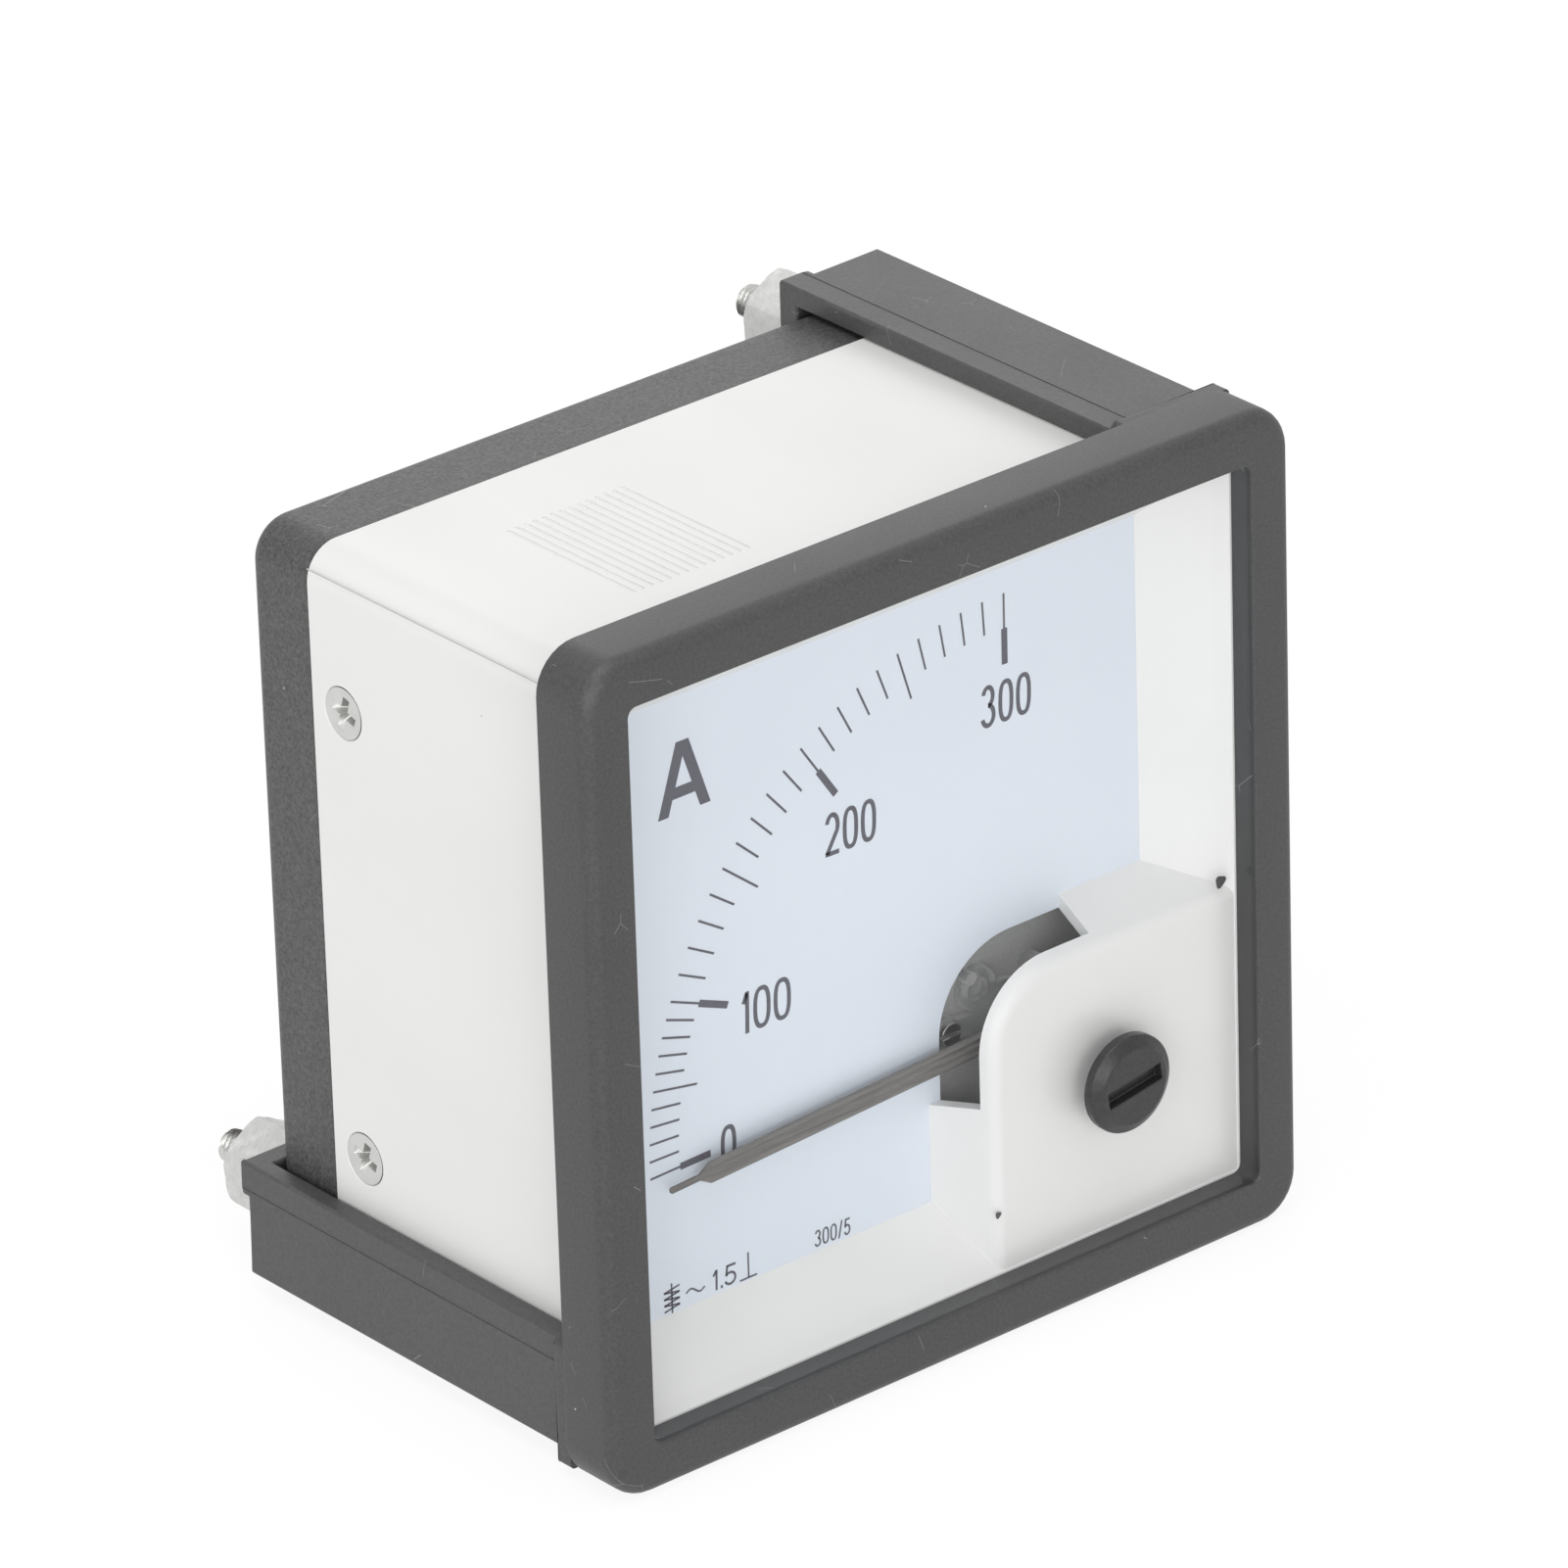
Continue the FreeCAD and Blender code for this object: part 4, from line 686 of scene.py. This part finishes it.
# %% [markdown]
# ## The bezel
# The bezel is one square ring: an upright outer wall, a rounded front edge, a flat front, and an
# opening whose wall runs down to the mask. Its section never changes, so we carry one profile
# round a rounded square. Each point of the profile has its own half width and corner radius, and
# rounding the profile's corners by arcs makes the lip and the moulded edge catch the light.


# %% Profiles and the rounded square
def soften(points, cuts, steps=6, closed=False):
    """Round the corners of a chain of straight runs.

    Each corner is replaced by an arc that starts and ends `cut` from it: a rational quadratic
    curve whose middle weight is the cosine of half the turn, which makes it a true circle.
    """
    points = np.asarray(points, dtype=float)
    before, after = np.roll(points, 1, axis=0), np.roll(points, -1, axis=0)
    t = np.linspace(0, 1, steps + 1)[:, None]
    rows = []
    for i, cut in enumerate(cuts):
        if cut == 0 or (not closed and i in (0, len(points) - 1)):
            rows.append(points[i:i + 1])
            continue
        u = before[i] - points[i]
        w = after[i] - points[i]
        u, w = u / np.linalg.norm(u), w / np.linalg.norm(w)
        weight = math.sqrt(max(0.0, (1 - u @ w) / 2))
        start, end = points[i] + u * cut, points[i] + w * cut
        b0, b1, b2 = (1 - t) ** 2, 2 * weight * t * (1 - t), t ** 2
        rows.append((b0 * start + b1 * points[i] + b2 * end) / (b0 + b1 + b2))
    return np.vstack(rows)


def square_ring(profile, per_corner=8, per_side=1):
    """Surface of a profile carried round a rounded square.

    Row i of the profile is (half width, corner radius, y). The point at angle a of a corner is
    the corner's arc centre, half - radius from the middle in X and Z, plus radius (cos a, sin a).
    Each straight side is cut into per_side equal lengths.
    """
    half, radius, y = (profile[:, i, None] for i in range(3))
    quarter = np.arange(4).repeat(per_corner + 1)
    angle = np.radians(90 * quarter + np.tile(np.linspace(0, 90, per_corner + 1), 4))
    side_x = np.sign(np.cos(np.radians(90 * quarter + 45)))
    side_z = np.sign(np.sin(np.radians(90 * quarter + 45)))
    x = side_x * (half - radius) + radius * np.cos(angle)
    z = side_z * (half - radius) + radius * np.sin(angle)
    along = np.append(np.arange(per_corner + 1), per_corner + np.arange(1, per_side) / per_side)
    place = (np.arange(4)[:, None] * (per_corner + 1) + along).ravel()
    low = place.astype(int)
    high, share = (low + 1) % x.shape[1], place - low
    x, z = (v[:, low] * (1 - share) + v[:, high] * share for v in (x, z))
    return np.stack([x, np.broadcast_to(y, x.shape), z], axis=-1)


# %% Bezel
bezel_corner_r = 3.8
bezel_edge_r = 1.4
opening_half = pane_high[0] + 0.1
opening_corner_r = 0.8
pocket_half = 32.7
pocket_corner_r = 3.2
lip_r = 0.25
rear_edge_r = 0.25
pocket_edge_r = 0.1
mask_y = pane_back

bezel_profile = np.array([
    [bezel_half, bezel_corner_r, rear_y],
    [bezel_half, bezel_corner_r, front_y],
    [opening_half, opening_corner_r, front_y],
    [opening_half, opening_corner_r, mask_y],
    [pocket_half, pocket_corner_r, mask_y],
    [pocket_half, pocket_corner_r, rear_y],
])
bezel_cuts = [rear_edge_r, bezel_edge_r, lip_r, 0.0, 0.0, pocket_edge_r]
rounded_profile = soften(bezel_profile, bezel_cuts, closed=True)
bezel_surface = square_ring(rounded_profile)
bezel = add_piece("bezel_ring", [sheet_of(bezel_surface, close_rows=True, close_columns=True)],
                  bezel_abs, "root", ["front_bezel"])
# The wall of the opening gets a darker copy of the plastic: painted shade, for the shade that falls
# in the opening.
bezel.data.materials.append(shade_darkened_abs)
wall_reach, wall_front = opening_half + 0.05, abs(front_y) - lip_r
for face in bezel.data.polygons:
    x, y, z = np.abs(np.array(face.center) / MM)
    if max(x, z) < wall_reach and y < wall_front:
        face.material_index = 1

# %% [markdown]
# ## The shadow at the joint of case and cover
# A dark line runs round the case where it enters the rear cover: painted shadow, a flat band of
# darker plastic where the shade of the gap falls. It is the same rounded square as the bezel, but
# its profile has only two points, which makes a flat band. The cover's own points say how wide it
# is and where its front edge lies.

# %% Painted shadow at the joint
cover_points = mesh_points(nodes["rear_cover"].data)
cover_half = cover_points[:, 0].max()
on_side = cover_points[:, 0] > cover_half - 0.3
cover_front = cover_points[on_side, 1].min()
joint_half, joint_corner_r, joint_width, joint_gap = cover_half - 0.05, 3.35, 0.33, 0.01
joint_profile = np.array([[joint_half, joint_corner_r, cover_front - joint_width],
                          [joint_half, joint_corner_r, cover_front - joint_gap]])
# A flat band of darker plastic in the gap: painted shadow.
add_piece("cover_joint_shadow", [sheet_of(square_ring(joint_profile), close_columns=True)],
          shade_darkened_abs, "root")

# %% [markdown]
# ## The pane
# The pane is a square plate with a round hole for the adjuster. Its edges are polished a little
# round, and these thin bright lines are what shows that there is a pane at all. The outer rows of
# the surface follow the rounded square, and the inner rows are circles whose points lie on the
# rays from the hole's middle to the outer points, so the two flat faces are plain bands between.

# %% Pane
pane_edge_r = 0.1
pane_clearance = 0.03
adjuster_hole_r = 1.72
face_band = 1.0
pane_half = pane_high[0]
pane_rear = pane_back - pane_clearance
rim = [[pane_half - face_band, pane_rear], [pane_half, pane_rear], [pane_half, pane_front],
       [pane_half - face_band, pane_front]]
rim = soften(rim, [0, pane_edge_r, pane_edge_r, 0])
outer_rows = square_ring(np.insert(rim, 1, opening_corner_r, axis=1), per_corner=6, per_side=20)
bore = [[adjuster_hole_r + face_band, pane_front], [adjuster_hole_r, pane_front],
        [adjuster_hole_r, pane_rear], [adjuster_hole_r + face_band, pane_rear]]
bore = soften(bore, [0, pane_edge_r, pane_edge_r, 0])
rays = outer_rows[:1] - adjuster
rays[..., 1] = 0
rays /= np.linalg.norm(rays, axis=-1, keepdims=True)
inner_rows = adjuster + rays * bore[:, :1, None]
inner_rows[..., 1] = bore[:, 1:]
pane_grid = np.concatenate([outer_rows, inner_rows])
add_piece("pane", [sheet_of(pane_grid, close_rows=True, close_columns=True)], clear_acrylic,
          "root", ["window"])

# %% [markdown]
# ## Two chips on the mask
# The mask of the photographed meter has two tiny dark chips, one by its right rim and one at the
# foot of its corner block. They are flat patches just in front of the mask, and three slow waves
# of their radius make them uneven.

# %% Chips
chip_y = mask_y - 0.018
chip_points = 12
chips = []
for chip_x, chip_z, chip_size in ((30.03, -5.06, 1.1), (5.9, -26.3, 0.6)):
    angle = np.linspace(0, 2 * math.pi, chip_points, endpoint=False)
    chip_r = chip_size / 2 * (1 + 0.18 * np.sin(3 * angle + 1))
    rim = np.stack([chip_x + chip_r * np.cos(angle), np.full(chip_points, chip_y),
                    chip_z + chip_r * np.sin(angle)], axis=-1)
    chips.append((rim, [list(range(chip_points))]))
add_piece("mask_chips", chips, black_abs, "root")

# %% [markdown]
# ## The pointer
# The pointer is one strip of thin sheet, pressed with three ridges that stiffen it, cut down to
# a fine tip and riveted to a small hub. One section is carried along it: the front follows the
# ridges, the back is flat. Both ends shrink to a point, which closes the strip.


# %% Pointer
def strip_along(stations, half_widths, ridges, plane, thickness, ridge_height):
    """A pressed strip about the X axis.

    At station x the section spans z = half_width * v for v from -1 to 1. The front lies at
    plane - thickness / 2 - ridge * cos(1.5 pi v) squared, which gives three ridges; the back is
    flat at plane + thickness / 2.
    """
    v_front, v_back = np.linspace(-1, 1, 31), np.linspace(1, -1, 5)
    v = np.append(v_front, v_back)
    front = np.append(np.ones(31), np.zeros(5))
    ridge = ridge_height * ridges[:, None] * np.cos(1.5 * math.pi * v) ** 2
    x = np.broadcast_to(stations[:, None], ridge.shape)
    y = plane + thickness * (0.5 - front) - ridge * front
    z = half_widths[:, None] * v
    return np.stack([x, y, z], axis=-1)


def turned(y_values, radii, steps=32):
    """Turned surface about the Y axis: each row is a circle of its radius at its y."""
    angle = np.linspace(0, 2 * math.pi, steps, endpoint=False)
    y_values, radii = np.asarray(y_values, dtype=float), np.asarray(radii, dtype=float)
    x, z = radii[:, None] * np.cos(angle), radii[:, None] * np.sin(angle)
    return np.stack([x, np.broadcast_to(y_values[:, None], x.shape), z], axis=-1)


pointer_points = mesh_points(nodes["pointer"].data) - spindle
reach_of = np.hypot(pointer_points[:, 0], pointer_points[:, 2])
tip_point = pointer_points[reach_of > reach_of.max() - 0.01].mean(axis=0)
tip_angle = math.atan2(tip_point[2], tip_point[0])
tip_r = reach_of.max()
pointer_low, pointer_high = corners("pointer")
sheet_thickness, ridge_height = 0.22, 0.16
on_blade = reach_of > 10
pointer_plane = spindle[1] + pointer_points[on_blade, 1].max() - sheet_thickness / 2
blade_end, neck, tail_end = tip_r - 4.05, tip_r - 2.95, -6.6
outline_x = [tail_end, tail_end, tail_end + 0.3, 0, blade_end, neck, tip_r - 0.1, tip_r, tip_r]
outline_w = [0, 0.5, 0.68, 0.98, 0.92, 0.25, 0.25, 0.15, 0]
station = np.concatenate([[tail_end] * 2, np.linspace(tail_end + 0.3, 0, 8),
                          np.linspace(1.0, blade_end - 0.5, 30),
                          np.linspace(blade_end, neck, 8), np.linspace(neck + 0.2, tip_r - 0.1, 5),
                          [tip_r] * 2])
width = np.interp(station, outline_x, outline_w)
width[[0, 1, -2, -1]] = [0, 0.5, 0.15, 0]
ridge_fade = np.interp(station, [0.8, 2.0, blade_end - 1.5, blade_end + 0.3], [0, 1, 1, 0])
blade = strip_along(station, width, ridge_fade, pointer_plane, sheet_thickness, ridge_height)
blade[[0, -1], :, 1] = pointer_plane
cosine, sine = math.cos(tip_angle), math.sin(tip_angle)
flat_x, flat_z = blade[..., 0].copy(), blade[..., 2].copy()
blade[..., 0] = pivot_x + flat_x * cosine - flat_z * sine
blade[..., 2] = pivot_z + flat_x * sine + flat_z * cosine
hub_front, hub_back = pointer_low[1], pointer_high[1]
hub_r, hub_edge, bore_r = 1.3, 0.12, 0.5
hub = turned([hub_front, hub_front, hub_front + hub_edge, hub_back, hub_back],
             [bore_r, hub_r - hub_edge, hub_r, hub_r, bore_r])
hub[..., 0] += pivot_x
hub[..., 2] += pivot_z
add_piece("pressed_pointer", [sheet_of(blade, close_columns=True),
                              sheet_of(hub, close_rows=True, close_columns=True)],
          pointer_grey, "movement", ["pointer"])

# %% [markdown]
# ## Threads and nuts
# The two clamp studs and the two terminals are threaded rods. A thread is a surface of two
# parameters: at angle a and height y its radius swings between crest and root with the phase
# y / pitch + a / turn, which winds to the right. The nuts are hexagons whose corners are turned
# off by a cone at each end: at every point the smaller of the two radii is the surface.


# %% Threads
def threaded_rod(radius, pitch, depth, y0, y1, chamfer):
    """Right-hand thread about Y from y0 to y1, closed at both ends.

    radius(a, y) = crest - depth * min(1, 1.25 (1 - |2 f - 1|)), with f the broken part of
    y / pitch + a / 2 pi, and near y1 no more than the chamfer's cone leaves.
    """
    angle = np.linspace(0, 2 * math.pi, 24, endpoint=False)
    y = np.linspace(y0, y1, int((y1 - y0) / pitch * 8) + 1)[:, None]
    phase = (y / pitch + angle / (2 * math.pi)) % 1
    flank = np.clip(1.25 * (1 - np.abs(2 * phase - 1)), 0, 1)
    r = np.minimum(radius - depth * flank, radius - chamfer + np.maximum(y1 - y, 0))
    rod = np.stack([r * np.cos(angle), np.broadcast_to(y, r.shape), r * np.sin(angle)], axis=-1)
    ends = np.zeros((2, 1, 3))
    ends[:, 0, 1] = y0, y1
    caps = np.broadcast_to(ends, (2, rod.shape[1], 3))
    return np.concatenate([caps[:1], rod, caps[1:]])


def moved(grid, x, z):
    """A grid shifted in X and Z."""
    return grid + np.array([x, 0, z])


def stud_of(node, low, high):
    """Middle in X and Z and the two ends in Y of a bar inside a node, from its own points."""
    points = mesh_points(nodes[node].data)
    mine = points[(points[:, 0] > low) & (points[:, 0] < high)]
    middle = (mine.min(axis=0) + mine.max(axis=0)) / 2
    return middle[0], middle[2], mine[:, 1].min(), mine[:, 1].max()


left_half, right_half = (-40, 0), (0, 40)
clamp_pitch, clamp_depth, clamp_r, tip_chamfer = 0.5, 0.3, 1.5, 0.5
clamp_rods = []
for low, high in (left_half, right_half):
    x, z, y0, y1 = stud_of("clamp_studs", low, high)
    rod = threaded_rod(clamp_r, clamp_pitch, clamp_depth, y0, y1, tip_chamfer)
    clamp_rods.append(sheet_of(moved(rod, x, z), close_columns=True))
add_piece("threaded_clamp_studs", clamp_rods, zinc_plate, "root", ["clamp_studs"])

terminal_pitch, terminal_depth, terminal_r, flange_r = 0.7, 0.42, 2.0, 4.5
for side in ("left", "right"):
    node = "terminal_stud_" + side
    x, z, y0, y1 = stud_of(node, -40, 40)
    rod = threaded_rod(terminal_r, terminal_pitch, terminal_depth, y0, y1, tip_chamfer)
    points = mesh_points(nodes[node].data)
    wide = points[np.hypot(points[:, 0] - x, points[:, 2] - z) > flange_r - 0.1, 1]
    flange_bore = terminal_r - 0.2
    flange = turned([wide.min(), wide.min(), wide.max(), wide.max()],
                    [flange_bore, flange_r, flange_r, flange_bore])
    add_piece("threaded_terminal_" + side,
              [sheet_of(moved(rod, x, z), close_columns=True),
               sheet_of(moved(flange, x, z), close_rows=True, close_columns=True)],
              turned_brass, "root", [node])


# %% Nuts
def hexagon_nut(flats, bore_r, y0, y1, turn_deg, cone_ends, roughness=0.0):
    """Hexagon nut about Y with turned-off corners and a rounded bore.

    The hexagon's radius at angle a is flats / 2 / cos(b), with b the angle to the middle of the
    nearest flat, and a cone of 30 degrees at the ends named in cone_ends takes the corners off.
    Roughness adds a few sine waves of that height, as a sand-worn casting has.
    """
    angle = np.linspace(0, 2 * math.pi, 96, endpoint=False)
    flat_turn = (angle - math.radians(turn_deg)) % (math.pi / 3) - math.pi / 6
    # The bar's corners are a little blunt, and the turned face is a circle inside the flats.
    hexagon = np.minimum(flats / 2 / np.cos(flat_turn), flats / math.sqrt(3) * 0.985)
    face_r = flats / 2 * 0.95
    y = np.concatenate([np.linspace(y0, y0 + 0.6, 9), np.linspace(y0 + 0.8, y1 - 0.8, 9),
                        np.linspace(y1 - 0.6, y1, 9)])
    from_end = np.full(len(y), 9.0)
    if "front" in cone_ends:
        from_end = np.minimum(from_end, y - y0)
    if "back" in cone_ends:
        from_end = np.minimum(from_end, y1 - y)
    cone_r = face_r + from_end / math.tan(math.radians(30))
    r = np.minimum(hexagon, cone_r[:, None])
    waves = np.sin(5 * angle + 2.1 * y[:, None]) + np.sin(11 * angle - 3.7 * y[:, None] + 1)
    r = r + roughness * waves / 2 * (r / flats)
    bore_edge = 0.25
    bore = np.full((4, len(angle)), bore_r)
    bore[[0, 3]] += bore_edge
    bore_y = np.array([y1, y1 - bore_edge, y0 + bore_edge, y0])
    r = np.concatenate([r, bore])
    y = np.append(y, bore_y)[:, None]
    grid = [r * np.cos(angle), np.broadcast_to(y, r.shape), r * np.sin(angle)]
    return np.stack(grid, axis=-1)


# The bores clear the crests by a little, so that the nuts can run along their threads.
thread_play = 0.04
clamp_bore_r, terminal_bore_r = clamp_r + thread_play, terminal_r + thread_play
nuts = {
    "clamp_nut_upper": (7.2, clamp_bore_r, 29.0, "back", 0.12, cast_zinc),
    "clamp_nut_lower": (7.2, clamp_bore_r, 33.0, "back", 0.12, cast_zinc),
    "terminal_nut_left": (7.0, terminal_bore_r, 15.0, "front back", 0.0, turned_brass),
    "terminal_nut_right": (7.0, terminal_bore_r, 15.0, "front back", 0.0, turned_brass),
}
for node, (flats, bore_r, turn_deg, cone_ends, roughness, material) in nuts.items():
    low, high = corners(node)
    x, z = (low[0] + high[0]) / 2, (low[2] + high[2]) / 2
    nut = hexagon_nut(flats, bore_r, low[1], high[1], turn_deg, cone_ends, roughness)
    add_piece("hexagon_" + node, [sheet_of(moved(nut, x, z), True, True)], material,
              body_of[node], [node], 25.0)
lock_nuts = []
for low, high in (left_half, right_half):
    x, z, y0, y1 = stud_of("terminal_lock_nuts", low, high)
    nut = hexagon_nut(7.0, terminal_bore_r, y0, y1, 0.0, "front back")
    lock_nuts.append(sheet_of(moved(nut, x, z), True, True))
add_piece("hexagon_lock_nuts", lock_nuts, turned_brass, "root", ["terminal_lock_nuts"], 25.0)

# %% [markdown]
# ## The dial's print
# The print is real geometry that lies a hundredth of a millimetre in front of the paint, so it
# stays crisp at any distance. The scale is not linear: it opens up after 100, as on most
# moving-iron meters with this shape of iron. The ticks are worked out as one array.


# %% Scale ticks
ink_y = dial_face - 0.012
scale_radius = 37.44
short_inner, long_inner, bold_outer, bold_inner = 34.48, 32.95, 34.4, 31.3
thin_width, bold_width = 0.2, 0.62
figure_tilt_deg = -1.5


def scale_angle(value):
    """Angle clockwise from the left for a reading; two straight stretches that meet at 100."""
    low = -1.11 + 0.2291 * value
    high = -1.11 + 22.91 + 0.34225 * (value - 100)
    return np.radians(np.where(value <= 100, low, high))


def on_dial(x, z):
    """Points on the print's plane from flat X and Z."""
    return np.stack([x, np.full_like(x, ink_y), z], axis=-1)


def ticks(values, inner, outer, width):
    """Thin bars along rays from the pivot, one for each value: four corners each."""
    angle = scale_angle(values)[:, None]
    along = np.concatenate([-np.cos(angle), np.sin(angle)], axis=1)[:, None, :]
    across = np.concatenate([np.sin(angle), np.cos(angle)], axis=1)[:, None, :]
    reach = np.array([inner, outer, outer, inner])[None, :, None]
    side = np.array([-1, -1, 1, 1])[None, :, None] * width / 2
    flat = along * reach + across * side
    points = on_dial(pivot_x + flat[..., 0], pivot_z + flat[..., 1]).reshape(-1, 3)
    return points, np.arange(len(points)).reshape(-1, 4)


readings = np.arange(0, 301, 10)
hundreds = readings[readings % 100 == 0]
fifties = readings[readings % 100 == 50]
tens = readings[readings % 50 != 0]
print_parts = [
    ticks(tens, short_inner, scale_radius, thin_width),
    ticks(fifties, long_inner, scale_radius, thin_width),
    ticks(hundreds, bold_outer, scale_radius, thin_width),
    ticks(hundreds, bold_inner, bold_outer, bold_width),
]
print(len(readings), "ticks")


# %% [markdown]
# The figures are drawn with a pen, in the narrow upright style of instrument dials. Each
# glyph is a few strokes in a box one wide and one high: arcs of ellipses and straight lines. The
# zero is a superellipse, |x|^n + |z|^n = 1 with n = 2.6, which gives its flat sides.


# %% Pen strokes
def ribbon(points, width):
    """A pen stroke: points of an open line pushed out by half the width to both sides."""
    points = np.asarray(points, dtype=float)
    run = np.gradient(points, axis=0)
    run /= np.linalg.norm(run, axis=1)[:, None]
    normal = np.stack([-run[:, 1], run[:, 0]], axis=1) * width / 2
    edges = np.stack([points - normal, points + normal], axis=1)
    return sheet_of(on_dial(edges[..., 0], edges[..., 1]))


def arc(x, z, wide, high, start, end, power=2.0):
    """Part of a superellipse about (x, z), from one angle in degrees to another."""
    a = np.radians(np.linspace(start, end, 25))
    cosine, sine = np.cos(a), np.sin(a)
    return np.stack([x + wide * np.sign(cosine) * np.abs(cosine) ** (2 / power),
                     z + high * np.sign(sine) * np.abs(sine) ** (2 / power)], axis=1)


def line(*points):
    """Straight stroke through points."""
    return np.array(points, dtype=float)


glyphs = {
    "0": (1.0, [arc(0.5, 0.5, 0.5, 0.5, 0, 360, 2.6)]),
    "1": (0.5, [line((0.0, 0.74), (0.7, 1.0)), line((0.78, 1.04), (0.78, -0.06))]),
    "2": (1.0, [np.vstack([arc(0.5, 0.71, 0.47, 0.29, 165, -32), [(0.03, 0.0)]]),
                line((-0.1, 0.0), (1.08, 0.0))]),
    "3": (1.0, [arc(0.48, 0.76, 0.42, 0.24, 165, -88), arc(0.48, 0.26, 0.5, 0.26, 88, -165)]),
    "5": (1.0, [line((1.0, 1.0), (0.12, 1.0)), line((0.2, 1.03), (0.1, 0.48)),
                arc(0.47, 0.31, 0.5, 0.31, 142, -160)]),
    "/": (0.7, [line((0.0, -0.08), (1.0, 1.08))]),
    ".": (0.12, [line((0.5, -0.06), (0.5, 0.1))]),
}
glyph_gap = 0.17


def figures(text, left, base, height, width, pen):
    """Glyphs side by side in a box of that width and height, tilted a little, as pen strokes."""
    unit = width / (sum(glyphs[c][0] for c in text) + glyph_gap * (len(text) - 1))
    a = math.radians(figure_tilt_deg)
    turn = np.array([[math.cos(a), math.sin(a)], [-math.sin(a), math.cos(a)]])
    parts, start = [], 0.0
    for c in text:
        wide, strokes = glyphs[c]
        box = np.array([max(wide * unit - pen, 0.0), height - pen])
        for stroke in strokes:
            flat = stroke * box + [start + pen / 2, pen / 2]
            parts.append(ribbon(flat @ turn + [left, base], pen))
        start += (wide + glyph_gap) * unit
    return parts


# %% Letter and signs
def patch(*points):
    """One flat printed patch."""
    flat = np.array(points, dtype=float)
    return on_dial(flat[:, 0], flat[:, 1]), [list(range(len(points)))]


def letter_a(left, base, height, width):
    """The unit's letter from three patches; the feet are cut level."""
    corner = np.array([left, base])
    size = np.array([width, height])
    shapes = [[(0, 0), (0.2, 0), (0.5, 0.78), (0.5, 1), (0.38, 1)],
              [(1, 0), (0.8, 0), (0.5, 0.78), (0.5, 1), (0.62, 1)],
              [(0.285, 0.22), (0.715, 0.22), (0.654, 0.38), (0.346, 0.38)]]
    return [patch(*(corner + size * shape)) for shape in map(np.array, shapes)]


lettering = letter_a(left=-22.8, base=16.4, height=6.1, width=5.3)
# Each row is a text with its left end, base, height, width and pen in mm.
for row in (("0", -17.75, -15.5, 3.5, 1.6, 0.4), ("100", -15.2, -4.8, 3.7, 5.05, 0.4),
            ("200", -6.25, 7.55, 3.7, 5.3, 0.4), ("300", 10.05, 13.1, 3.7, 5.25, 0.4),
            ("1.5", -19.05, -26.1, 1.85, 2.5, 0.22), ("300/5", -8.5, -26.1, 1.5, 3.75, 0.17)):
    lettering += figures(*row)
# The wave stands for alternating current, the zigzag on a line for a moving-iron movement, and
# the last two lines for an upright dial.
wave_left, wave_length, wave_z, wave_height = -21.7, 1.9, -25.27, 0.26
wave = np.linspace(0, 2 * math.pi, 24)
sine_sign = np.stack([wave_left + wave / (2 * math.pi) * wave_length,
                      wave_z + wave_height * np.sin(wave)], axis=1)
coil_x, coil_base, coil_half, coil_step = -23.15, -26.15, 0.8, 0.28
turns = np.arange(8)
zigzag = np.stack([coil_x + coil_half * np.where(turns % 2 == 0, -1, 1),
                   coil_base + turns * coil_step], axis=1)
upright_x, upright_z, sign_pen = -15.31, -26.19, 0.17
sign_lines = [sine_sign, *(zigzag[i:i + 2] for i in range(len(turns) - 1)),
              line((coil_x, -26.5), (coil_x, -23.8)),
              line((-16.22, upright_z), (-14.45, upright_z)),
              line((upright_x, upright_z), (upright_x, -23.95))]
signs = [ribbon(points, sign_pen) for points in sign_lines]
print(len(lettering), "strokes of figures and", len(signs), "of signs")

# %% Dial print piece
print_points, print_faces = joined(print_parts + lettering + signs)
print_mesh = bpy.data.meshes.new("dial_print")
print_mesh.from_pydata((print_points * MM).tolist(), [], print_faces)
dress("dial_print", print_mesh, ink, "root")
